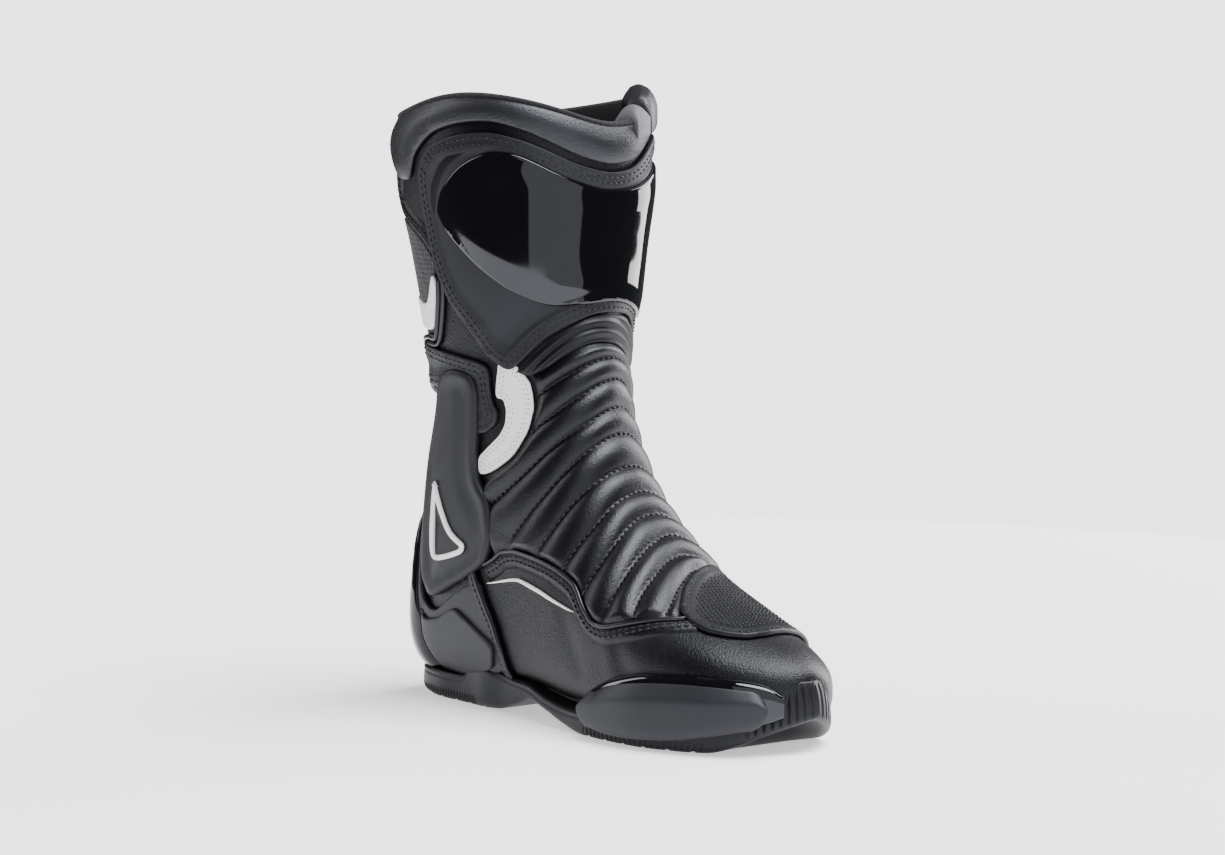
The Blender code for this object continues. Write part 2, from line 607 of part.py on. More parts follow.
def make_overlays(parts, leather, moulded, gloss, light, rubber):
    """Everything that lies on the upper, from the inner pieces to those that lie on them."""
    top = COLLAR - RIM_MARGIN
    pad = [(COLLAR_EDGE[0][0], top), *COLLAR_EDGE, (COLLAR_EDGE[-1][0], top)]
    overlay("collar_pad", pad, PAD, parts, leather, relief=pad_relief)
    overlay("closure_flap", FLAP_OUTLINE, PANEL, parts, leather)
    overlay("shin_frame", FRAME_OUTLINE, MOULDED, parts, moulded)
    overlay("shin_plate", PLATE_OUTLINE, PLATE, parts, gloss, gap=2 * GAP + MOULDED)
    seam = [(girth, station - SEAM_MARGIN) for girth, station in FRAME_FOOT]
    overlay("flex_panel", [*seam, *FLEX_OUTLINE], PANEL, parts, rubber, relief=flex_relief,
            extra=FLEX_STATIONS)
    guard = overlay("calf_guard", CALF_GUARD_OUTLINE, MOULDED, parts, moulded)
    overlay("front_trim", FRONT_TRIM_OUTLINE, PANEL, parts, light)
    overlay("rear_trim", REAR_TRIM_OUTLINE, PANEL, parts, light)
    counter = overlay("heel_counter", COUNTER_OUTLINE, MOULDED, parts, moulded)
    spoiler = overlay("heel_spoiler", SPOILER_OUTLINE, SPOILER, parts, gloss, gap=2 * GAP + MOULDED,
                      relief=spoiler_relief)
    overlay("ankle_brace", BRACE_OUTLINE, BRACE, parts, moulded)
    overlay("brace_inlay", INLAY_OUTLINE, PANEL, parts, light, gap=2 * GAP + BRACE)
    patch = overlay("shift_patch", PATCH_OUTLINE, PANEL, parts, rubber, gap=1.5 * GAP)
    wider = grown(BRACE_OUTLINE, 1.02)
    cut(guard, overlay("brace_room", wider, 2 * BRACE, parts, moulded, gap=-MOULDED))
    for piece in (counter, spoiler, patch):
        cut(piece, new_object(sole_body(GAP), "sole_room", parts))


def side_block(name, inner, outer, trim, parts, material):
    """A block along the toe's lateral side, between two distances from the sole's outline."""
    table = np.array(SLIDER_ROWS)
    columns = sole_columns()
    lateral = np.stack([columns["x"], LATERAL * columns["lateral"]], 1)
    x = table[:, 0] * FOOT_LENGTH
    y = np.interp(x, lateral[:, 0], lateral[:, 1])
    heading = np.stack([np.gradient(x), np.gradient(y)], 1)
    heading /= np.linalg.norm(heading, axis=1, keepdims=True)
    outwards = np.stack([heading[:, 1], -heading[:, 0]], 1)
    profile = [(inner + (outer - inner) * out, up) for out, up in SLIDER_PROFILE]
    rings = []
    for i, row in enumerate(table):
        low, high = row[1] * SLIDER_HEIGHT + trim, row[2] * SLIDER_HEIGHT - trim
        rings.append([(x[i] + outwards[i, 0] * out, y[i] + outwards[i, 1] * out, low + (high - low) * up)
                      for out, up in profile])
    mesh = loft(rings)
    bmesh.ops.recalc_face_normals(mesh, faces=mesh.faces[:])
    return new_object(mesh, name, parts, material)


def make_toe_slider(parts, gloss, moulded):
    """A glossy carrier let into the sole's side, and the matte face that wears on it."""
    base = side_block("toe_slider_base", -SOLE_CAP_INSET * 0.6, SLIDER_BASE, 0, parts, gloss)
    cut(base, new_object(sole_body(GAP), "sole_room", parts))
    cut(base, new_object(form_mesh(GAP), "upper_room", parts))
    face_inner = SLIDER_BASE + GAP
    side_block("toe_slider", face_inner, face_inner + SLIDER_FACE, 0.06 * SLIDER_HEIGHT, parts, moulded)


def finish(name, colour, roughness, metallic=0.0):
    material = bpy.data.materials.new(name)
    material.use_nodes = True
    shader = material.node_tree.nodes["Principled BSDF"]
    shader.inputs["Base Color"].default_value = (*colour, 1.0)
    shader.inputs["Roughness"].default_value = roughness
    shader.inputs["Metallic"].default_value = metallic
    material.diffuse_color = (*colour, 1.0)
    return material


def main():
    for thing in list(bpy.data.objects):
        bpy.data.objects.remove(thing)
    parts = bpy.data.collections.new("motorcycle_boot")
    bpy.context.scene.collection.children.link(parts)
    leather = finish("leather", (0.02, 0.02, 0.022), 0.45)
    rubber = finish("rubber", (0.03, 0.03, 0.032), 0.7)
    fabric = finish("fabric", (0.05, 0.05, 0.055), 0.9)
    moulded = finish("moulded", (0.05, 0.05, 0.055), 0.55)
    gloss = finish("gloss", (0.01, 0.01, 0.012), 0.1)
    light = finish("light", (0.8, 0.8, 0.8), 0.6)
    make_upper(parts, leather)
    make_outsole(parts, rubber)
    make_insole(parts, fabric)
    make_overlays(parts, leather, moulded, gloss, light, rubber)
    make_toe_slider(parts, gloss, moulded)


main()
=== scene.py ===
"""Looks of a motorcycle boot for the right foot, in metres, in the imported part's frame.

X runs from the heel to the toe, Y to the medial side and Z up. A place on the upper is a girth, in degrees
from the front line with lateral positive, and a station, which counts its sections from the toe to the
collar. Every panel, seam and piping is drawn in girths and stations and laid over the last.
"""

from __future__ import annotations

import logging
import math
from dataclasses import dataclass
from enum import Enum
from typing import Callable, Optional, Sequence

import bmesh
import bpy
import numpy as np
from mathutils import Matrix, Vector

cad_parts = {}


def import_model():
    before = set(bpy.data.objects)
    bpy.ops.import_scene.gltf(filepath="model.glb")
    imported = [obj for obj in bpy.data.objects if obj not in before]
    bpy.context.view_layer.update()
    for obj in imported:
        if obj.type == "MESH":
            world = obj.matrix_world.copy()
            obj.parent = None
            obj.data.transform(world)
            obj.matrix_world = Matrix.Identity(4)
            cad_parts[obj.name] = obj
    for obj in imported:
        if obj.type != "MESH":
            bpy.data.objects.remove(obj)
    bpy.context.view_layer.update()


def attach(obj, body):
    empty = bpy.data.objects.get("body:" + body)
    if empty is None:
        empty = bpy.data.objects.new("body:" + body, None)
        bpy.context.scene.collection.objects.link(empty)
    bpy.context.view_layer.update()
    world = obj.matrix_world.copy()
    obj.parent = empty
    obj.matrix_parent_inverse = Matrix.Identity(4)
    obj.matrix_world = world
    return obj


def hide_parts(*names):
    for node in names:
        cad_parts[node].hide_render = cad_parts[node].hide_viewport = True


LOG = logging.getLogger("boot")

# Driving sizes of the last and the sole
FOOT_LENGTH = 0.284
BALL_WIDTH = 0.092
CALF_WIDTH = 0.120
INSTEP_HEIGHT = 0.169
SHAFT_HEIGHT = 0.300
BED_HEIGHT = 0.0135
RIM_RISE = 0.020
EDGE_HEIGHT = 0.015
ARCH_HEIGHT = 0.010
TREAD_EDGE = 0.003
SLIDER_HEIGHT = 0.038
MM = 0.001

SECTION_NAMES = ("front_x", "front_z", "back_x", "back_z", "lateral", "medial", "middle",
                 "front_power", "back_power", "sway")

# Shares of FOOT_LENGTH in x and of BALL_WIDTH in width. front_z is a share of INSTEP_HEIGHT, and back_z
# of BED_HEIGHT, the height of the upper's underside under the heel.
FOOT_SECTIONS = (
    (0.866, 0.178, 0.866, 2.15, 0.005, 0.005, 0.50, 2.0, 2.0, 0.087),
    (0.856, 0.234, 0.856, 1.44, 0.152, 0.141, 0.55, 2.0, 2.6, 0.087),
    (0.820, 0.278, 0.820, 0.98, 0.293, 0.272, 0.58, 2.1, 3.8, 0.076),
    (0.743, 0.331, 0.743, 0.75, 0.446, 0.391, 0.60, 2.2, 4.8, 0.054),
    (0.641, 0.399, 0.641, 0.70, 0.522, 0.467, 0.62, 2.2, 5.0, 0.033),
    (0.542, 0.488, 0.525, 0.70, 0.533, 0.467, 0.64, 2.2, 5.0, 0.022),
    (0.456, 0.601, 0.401, 0.80, 0.500, 0.457, 0.64, 2.2, 4.8, 0.011),
    (0.387, 0.734, 0.275, 1.06, 0.466, 0.440, 0.62, 2.2, 4.4, 0.0),
    (0.345, 0.870, 0.141, 1.03, 0.447, 0.434, 0.60, 2.2, 4.0, 0.0),
    (0.320, 1.000, 0.006, 1.00, 0.440, 0.438, 0.56, 2.2, 3.6, 0.0),
)
# Shares of FOOT_LENGTH in x and of CALF_WIDTH in width. front_z is a share of the rise from the instep to
# the collar, and back_z of the rise from the bed to the collar.
SHAFT_SECTIONS = (
    (0.310, 0.153, -0.112, 0.013, 0.351, 0.356, 0.54, 2.2, 3.0, 0.008),
    (0.306, 0.282, -0.131, 0.115, 0.358, 0.364, 0.52, 2.2, 2.4, 0.008),
    (0.305, 0.397, -0.104, 0.310, 0.372, 0.378, 0.50, 2.2, 2.2, 0.017),
    (0.306, 0.504, -0.075, 0.452, 0.395, 0.390, 0.50, 2.2, 2.2, 0.017),
    (0.312, 0.618, -0.095, 0.598, 0.440, 0.408, 0.50, 2.2, 2.2, 0.025),
    (0.320, 0.748, -0.130, 0.749, 0.483, 0.445, 0.50, 2.2, 2.2, 0.033),
    (0.327, 0.878, -0.165, 0.888, 0.525, 0.473, 0.50, 2.2, 2.2, 0.033),
    (0.320, 1.000, -0.162, 1.000, 0.508, 0.466, 0.50, 2.2, 2.2, 0.042),
)
COLLAR = float(len(FOOT_SECTIONS) + len(SHAFT_SECTIONS) - 1)
RIM_START = COLLAR - 4.0

# Girth in degrees, and the collar's rise there as a share of RIM_RISE
RIM_SHARES = (
    (-180, 0.25), (-150, 0.35), (-110, 0.60), (-65, 0.85), (-40, 0.75), (-20, 0.35), (0, 0.15),
    (15, 0.40), (30, 0.70), (45, 0.90), (62, 1.00), (80, 0.95), (95, 0.80), (120, 0.50), (150, 0.35),
    (180, 0.25),
)

# Shares of FOOT_LENGTH for x, of BALL_WIDTH for the half widths, of EDGE_HEIGHT for the rim,
# of ARCH_HEIGHT for the tread's lift and of TREAD_EDGE for the rounding of the lower edge
SOLE_NAMES = ("x", "lateral", "medial", "rim", "lift", "edge")
SOLE_ROWS = (
    (-0.150, 0.000, 0.000, 1.00, 0.00, 2.0),
    (-0.144, 0.130, 0.130, 1.00, 0.00, 2.0),
    (-0.127, 0.217, 0.217, 1.00, 0.00, 1.9),
    (-0.092, 0.304, 0.304, 1.00, 0.00, 1.7),
    (-0.028, 0.359, 0.359, 0.97, 0.00, 1.2),
    (0.042, 0.370, 0.366, 0.95, 0.00, 1.0),
    (0.067, 0.376, 0.366, 1.10, 0.00, 1.0),
    (0.088, 0.380, 0.363, 1.72, 0.00, 1.0),
    (0.125, 0.388, 0.355, 1.70, 0.00, 1.0),
    (0.175, 0.397, 0.345, 1.45, 0.12, 1.0),
    (0.222, 0.415, 0.337, 1.30, 0.50, 1.0),
    (0.282, 0.442, 0.328, 1.20, 1.00, 1.0),
    (0.340, 0.475, 0.337, 0.95, 0.75, 1.0),
    (0.405, 0.505, 0.365, 0.80, 0.30, 1.0),
    (0.470, 0.535, 0.410, 0.78, 0.00, 1.0),
    (0.550, 0.555, 0.460, 0.82, 0.00, 1.0),
    (0.634, 0.543, 0.495, 0.85, 0.00, 1.0),
    (0.700, 0.480, 0.472, 0.90, 0.00, 1.0),
    (0.745, 0.425, 0.445, 1.00, 0.03, 1.0),
    (0.775, 0.375, 0.415, 1.90, 0.12, 1.0),
    (0.810, 0.290, 0.360, 2.25, 0.48, 1.0),
    (0.845, 0.165, 0.275, 2.45, 1.00, 1.1),
    (0.868, 0.030, 0.180, 2.53, 1.40, 1.2),
    (0.879, -0.087, 0.092, 2.53, 1.65, 1.2),
)

# Shares of FOOT_LENGTH for x, and of SLIDER_HEIGHT for the lower and upper edge
SLIDER_ROWS = (
    (0.491, 0.35, 0.48), (0.507, 0.21, 0.64), (0.535, 0.14, 0.77), (0.574, 0.10, 0.89),
    (0.634, 0.10, 0.98), (0.704, 0.13, 1.02), (0.760, 0.20, 1.02), (0.810, 0.29, 0.99),
    (0.842, 0.38, 0.92), (0.857, 0.46, 0.80),
)

# Girths, and the station of each stitched channel of the quilted front there, from the top down
QUILT_GIRTHS = (58, 40, 24, 8, -8, -30, -60)
QUILT_ROWS = (
    (10.60, 10.35, 10.05, 9.67, 9.92, 10.35, 10.90),
    (9.95, 9.75, 9.27, 9.00, 9.38, 9.75, 10.15),
    (9.30, 8.90, 8.54, 8.34, 8.68, 9.00, 9.30),
    (8.22, 7.99, 7.79, 7.80, 8.04, 8.25, 8.50),
    (7.36, 7.18, 7.11, 7.14, 7.31, 7.50, 7.70),
    (6.53, 6.45, 6.45, 6.60, 6.74, 6.85, 6.95),
    (5.80, 5.82, 5.92, 6.13, 6.24, 6.26, 6.25),
    (5.12, 5.24, 5.40, 5.60, 5.76, 5.80, 5.70),
    (4.55, 4.78, 4.95, 5.15, 5.26, 5.20, 5.10),
    (4.00, 4.22, 4.45, 4.68, 4.88, 4.80, 4.60),
)

# Soft creases of the leather: two ends as girth and station, half width and height in millimetres,
# where a trough is negative
CREASES = (
    (150, 9.9, 112, 10.6, 4.0, -0.9), (-150, 9.9, -108, 10.5, 4.0, -1.0),
    (-160, 10.6, -104, 11.2, 4.5, -0.8),
    (-140, 10.2, -96, 10.9, 5.0, 0.8), (-95, 9.2, -66, 9.9, 4.5, -0.7), (-100, 8.5, -64, 9.2, 5.0, 0.6),
    (-92, 7.6, -64, 8.4, 4.5, -0.6), (-98, 4.4, -70, 5.6, 5.0, -0.6), (70, 4.9, 96, 4.2, 5.0, -0.6),
    (72, 6.3, 100, 5.6, 6.0, -0.5), (62, 5.0, 92, 4.8, 5.0, 0.5), (-150, 13.2, -104, 13.6, 6.0, -0.7),
    (-160, 14.2, -110, 14.6, 6.0, 0.6), (150, 12.6, 118, 13.2, 5.0, -0.6),
    (-170, 11.4, -120, 12.0, 5.0, -0.7),
)

# Thicknesses of what lies on the upper
GAP = 0.0004
PANEL = 0.0016
MOULDED = 0.0026
PLATE = 0.0022
PAD = 0.0045
SPOILER = 0.0036
BRACE = 0.0046
FLEX_RIDGE = 0.0022
LAP = 0.0016

# Heights of stitches on the bare leather and on a lap, and the base of what is let into the leather
ON_LEATHER = 0.0003
ON_LAP = 0.0015
LET_IN = 0.0002

# Distances of the rows of stitches from the edge of a moulded border and of a lap
BORDER_ROWS = (0.0027, 0.0055)
LAP_ROWS = (0.0025, 0.0050)

# Where the bumper's ribs start along x, on the lateral and on the medial side
BUMPER_START = (0.230, 0.216)

# Profiles: the closure's curl (metres outwards, and up as metres below the rim or as a share over it), the
# slider's carrier and face (shares outwards and upwards), and the insole's edge (metres in and up)
CURL_PROFILE = (
    (0.0050, -0.010), (0.0054, 0.0), (0.0042, 0.45), (0.0015, 0.85), (-0.0025, 1.0), (-0.0070, 0.85),
    (-0.0102, 0.40), (-0.0110, -0.008), (-0.0085, -0.008), (-0.0078, 0.20), (-0.0058, 0.52),
    (-0.0025, 0.66), (0.0004, 0.55), (0.0018, 0.20), (0.0022, -0.010),
)
CARRIER_PROFILE = ((0.0, 0.12), (0.0, 0.90), (0.65, 1.0), (1.0, 0.90), (1.0, 0.18), (0.75, 0.0))
WORN_PROFILE = ((0.0, 0.03), (0.0, 0.94), (0.06, 1.0), (0.84, 0.76), (1.0, 0.68), (1.0, 0.12), (0.6, 0.0))
INSOLE_PROFILE = (
    (0.0085, 0.0), (0.0075, 0.002), (0.0075, 0.004), (0.0082, 0.0048), (0.0100, 0.0050), (0.018, 0.0050),
)

# The sole's rim: shares of its lean inwards, metres inwards at the toe, and shares of its lean down
RIM_PROFILE = ((0.45, 0.0, 0.8), (0.7, 0.0010, 0.2), (1.2, 0.0023, 0.0))

# Name, place, size and power of each soft light
SOFTBOXES = (
    ("rim", (0.16, 1.95, 0.75), (1.05, 1.80), 62.0),
    ("front", (2.20, -0.75, 0.60), (2.70, 2.80), 31.0),
    ("rear", (-1.5, -1.0, 1.1), (0.5, 1.6), 14.0),
)

# Outlines and lines on the last, as girth and station
COLLAR_EDGE = (
    (-58, 16.50), (-30, 16.40), (-14, 15.92), (0, 15.82), (17, 15.92), (36, 16.25), (52, 16.42),
    (70, 16.40), (88, 16.34), (101, 16.10), (108, 15.75), (118, 15.85), (132, 16.20), (150, 16.30),
    (180, 16.30), (212, 16.35),
)
FRAME_FOOT = (
    (-62, 12.15), (-34, 11.68), (-14, 11.50), (-6, 11.22), (8, 11.06), (17, 11.20), (29, 11.19),
)
FRAME_OUTLINE = (
    (98, 15.85), (88, 16.10), (70, 16.17), (52, 16.18), (36, 16.02), (17, 15.70), (0, 15.60), (-13, 15.68),
    (-30, 16.20), (-58, 16.28), (-82, 16.12), (-87, 15.60), (-88, 13.50), (-85, 12.75), *FRAME_FOOT,
    (41, 11.62), (58, 12.20), (78, 13.17), (94, 13.90), (101, 14.47), (102, 15.20),
)
PLATE_OUTLINE = (
    (89, 15.10), (84, 15.35), (70, 15.63), (53, 15.82), (40, 15.76), (22, 15.35), (4, 15.12), (-14, 15.16),
    (-38, 15.55), (-60, 15.80), (-74, 15.72), (-77, 15.10), (-78, 13.90), (-70, 13.30), (-42, 12.35),
    (-14, 11.72), (4, 11.45), (17, 11.87), (36, 12.87), (56, 13.70), (72, 14.30), (84, 14.77),
)
FLEX_OUTLINE = (
    (-62, 12.08), (-34, 11.61), (-14, 11.43), (-6, 11.15), (8, 10.99), (17, 11.13), (29, 11.12),
    (27, 11.05), (20, 10.55), (15, 10.32), (7, 10.22), (-8, 10.24), (-20, 10.58), (-36, 11.15),
    (-60, 11.85),
)
GUARD_OUTLINE = (
    (139, 13.90), (118, 13.47), (92, 12.90), (70, 12.35), (54, 11.90), (42, 11.15), (36, 10.75),
    (36, 10.50), (47, 10.74), (78, 11.74), (106, 12.60), (125, 12.94), (141, 13.30), (180, 13.35),
    (205, 13.60), (205, 14.10), (180, 13.95),
)
BRACE_OUTLINE = (
    (99, 12.80), (75, 12.20), (60, 11.65), (52, 11.01), (52, 10.20), (53, 9.30), (66, 8.74), (86, 8.64),
    (113, 9.07), (137, 9.71), (140, 10.20), (140, 11.00), (139, 11.87), (127, 12.40), (122, 12.90),
    (112, 13.00),
)
INLAY_OUTLINE = ((117, 11.45), (95, 10.30), (88, 9.35), (97, 9.28), (124, 10.08), (122, 10.80))
FRONT_TRIM_OUTLINE = (
    (46, 12.00), (34, 11.55), (24.5, 10.98), (20.5, 10.45), (19.5, 10.05), (20, 9.70), (24, 9.38),
    (32, 9.34), (42, 9.66), (52, 10.05), (52, 10.45), (42, 10.30), (34, 10.15), (31, 10.22), (30.5, 10.50),
    (33, 10.85), (40, 11.15),
)
REAR_TRIM_OUTLINE = (
    (150, 14.55), (136, 14.42), (118, 14.12), (106, 14.45), (104, 14.20), (117, 13.72), (140, 14.12),
    (152, 14.25),
)
FLAP_OUTLINE = (
    (-62, 16.97), (-144, 16.97), (-147, 16.10), (-140, 15.20), (-128, 14.20), (-120, 13.20), (-112, 12.30),
    (-100, 11.90), (-91, 12.60), (-92, 13.50), (-91, 15.80), (-84, 16.32), (-62, 16.48),
)
COUNTER_OUTLINE = (
    (104, 8.70), (110, 8.45), (118, 8.00), (130, 7.62), (140, 7.62), (150, 8.20), (157, 8.75), (166, 9.25),
    (180, 9.50), (194, 9.25), (203, 8.75), (210, 8.20), (222, 7.62), (235, 7.62), (244, 8.00), (254, 8.70),
    (256, 9.30), (248, 10.20), (234, 11.20), (215, 11.90), (180, 12.20), (155, 12.10), (145, 11.80),
    (145, 11.00), (145, 10.10), (141, 9.55), (128, 9.28), (113, 8.90),
)
SPOILER_OUTLINE = (
    (180, 12.00), (160, 11.80), (151, 11.30), (148.5, 10.60), (149.5, 10.02), (156, 9.64), (164, 9.25),
    (180, 9.35), (196, 9.25), (204, 9.64), (210.5, 10.02), (211, 10.60), (209, 11.30), (200, 11.80),
)
CUP_SIDE_OUTLINE = (
    (147.6, 10.02), (146.5, 9.75), (141, 9.38), (135, 9.20), (131.5, 9.05), (129, 8.50), (127, 7.80),
    (140, 7.80), (150, 8.30), (160, 8.80), (165, 9.02), (157, 9.42),
)
SLOT_OUTLINE = ((151, 10.15), (146, 10.02), (156, 9.30), (166, 9.00), (166, 9.40))
PATCH_OUTLINE = (
    (43, 3.72), (37, 4.10), (12, 4.60), (-12, 4.95), (-36, 5.30), (-60, 5.62), (-80, 5.62), (-104, 5.35),
    (-120, 5.25), (-120, 3.75), (-88, 3.52), (-60, 3.20), (-34, 2.95), (0, 2.80), (26, 2.85), (38, 3.10),
    (44, 3.40),
)
QUILT_OUTLINE = (
    (25, 11.00), (20, 10.55), (18.5, 10.10), (19, 9.68), (23.5, 9.30), (32, 9.25), (50, 9.90), (64, 9.30),
    (80, 8.55), (71, 8.38), (62, 7.98), (57, 7.41), (54, 6.58), (54, 6.08), (62, 5.71), (68, 5.34),
    (67, 5.00), (58, 4.41), (44, 3.95), (37, 4.05), (12, 4.55), (-12, 4.90), (-36, 5.25), (-60, 5.55),
    (-63, 7.00), (-62, 9.00), (-62, 11.00), (-62, 11.86), (-36, 11.16), (-20, 10.60), (-8, 10.27),
    (7, 10.24), (15, 10.34), (20, 10.60),
)
VAMP_EDGE = (
    (92, 8.75), (80, 8.50), (71, 8.38), (62, 7.98), (58, 7.41), (54, 6.58), (54, 6.08), (62, 5.71),
    (68, 5.34), (67, 5.00), (58, 4.41), (46, 3.95), (36, 3.72),
)
ACCENT_LINE = ((100, 8.48), (90, 8.18), (82, 7.91), (77, 7.66), (75.5, 7.40), (72, 6.70), (68, 5.94))
MEDIAL_PIPING = ((-63, 12.10), (-63, 10.50), (-63, 9.00), (-64, 7.50), (-66, 6.40), (-72, 5.70))
MEDIAL_SEAM = (
    (-86, 12.60), (-80, 11.40), (-78, 10.00), (-80, 8.60), (-88, 7.30), (-96, 6.30), (-100, 5.50),
)
REAR_DIAGONAL = ((122, 16.15), (130, 15.75), (131, 15.50), (122, 15.25), (110, 14.94), (101, 14.55))
MESH_OUTLINE = (
    (134, 15.42), (122, 15.22), (110, 14.90), (101, 14.50), (108, 14.30), (118, 14.10), (136, 14.38),
    (152, 14.52), (166, 14.62), (176, 14.90), (172, 15.35), (154, 15.50),
)
HEEL_PIPING = ((102, 9.00), (106, 8.80), (111, 8.47), (118, 8.00), (129, 7.62), (142, 7.45))
CRESCENT_OUTLINE = (
    (96, 15.12), (91, 15.50), (80, 15.80), (68, 15.94), (56, 15.99), (66, 15.83), (78, 15.66), (87, 15.42),
    (93, 15.10),
)
PIPING_V = (
    (150, 13.70), (140, 13.92), (126, 13.78), (117, 13.60), (110, 13.80), (104, 14.05), (101, 14.30),
)
MEDIAL_TRIM = (
    (206, 14.75), (211, 14.40), (216, 13.95), (223, 13.50), (229, 13.80), (221, 14.35), (215, 14.90),
)
BACK_SEAMS = (((180, 16.20), (180, 14.75)), ((180, 13.60), (180, 12.30)))
REAR_BAND = ((150, 14.30), (165, 14.38), (180, 14.45), (196, 14.48), (208, 14.40))
INSERT_OUTLINE = (
    (-139, 12.40), (-130, 12.30), (-119, 11.60), (-113, 10.90), (-118, 10.55), (-130, 10.45), (-138, 10.10),
    (-143, 10.60), (-143, 11.60),
)
# Girth of each line of the medial insert, and its upper and lower station
INSERT_LINES = ((-138, 12.2, 10.4), (-133, 12.1, 10.6), (-128, 11.9, 10.65), (-123, 11.6, 10.70),
                (-118.5, 11.3, 10.75))
QUARTER_EDGE = (
    (-113, 12.30), (-110, 11.60), (-109, 11.00), (-112, 10.30), (-120, 9.95), (-126, 9.40), (-128, 8.90),
)

# Share of a run that a corner cut takes: less at first, so that narrow outlines keep their width
FIRST_CUT = 0.17
LATER_CUT = 0.25

Path = Sequence[tuple[float, float]]
Relief = Callable[[np.ndarray, np.ndarray, np.ndarray], np.ndarray]


def smoothstep(value: np.ndarray, low: float = 0.0, high: float = 1.0) -> np.ndarray:
    """A soft step from zero at low to one at high."""
    share = np.clip((np.asarray(value, float) - low) / (high - low), 0, 1)
    return share * share * (3 - 2 * share)


def hump(value: np.ndarray, middle: float, half: float) -> np.ndarray:
    """A round hump of height one about a middle."""
    share = np.clip(np.abs(np.asarray(value, float) - middle) / half, 0, 1)
    return np.sqrt(1 - share**2)


def between(values: np.ndarray, low: float, high: np.ndarray | float, soft: float) -> np.ndarray:
    """One between two edges and zero outside them, with soft steps."""
    return smoothstep(values, low, low + soft) * (1 - smoothstep(values, high - soft, high))


def cornered(points: Path, rounds: int, closed: bool) -> np.ndarray:
    """A line through given points with its corners cut again and again.

    Args:
        points: the given points.
        rounds: how many times each corner is cut.
        closed: whether the line is a loop.
    Returns:
        The softened points, an array of two columns.
    """
    line = np.array(points, float)
    for turn in range(rounds):
        share = LATER_CUT if turn else FIRST_CUT
        following = np.roll(line, -1, axis=0)
        near, far = line * (1 - share) + following * share, line * share + following * (1 - share)
        cut = np.stack([near, far], 1).reshape(-1, 2)
        if not closed:
            cut = np.concatenate([line[:1], cut[1:-3], line[-1:]])
        line = cut
    return line


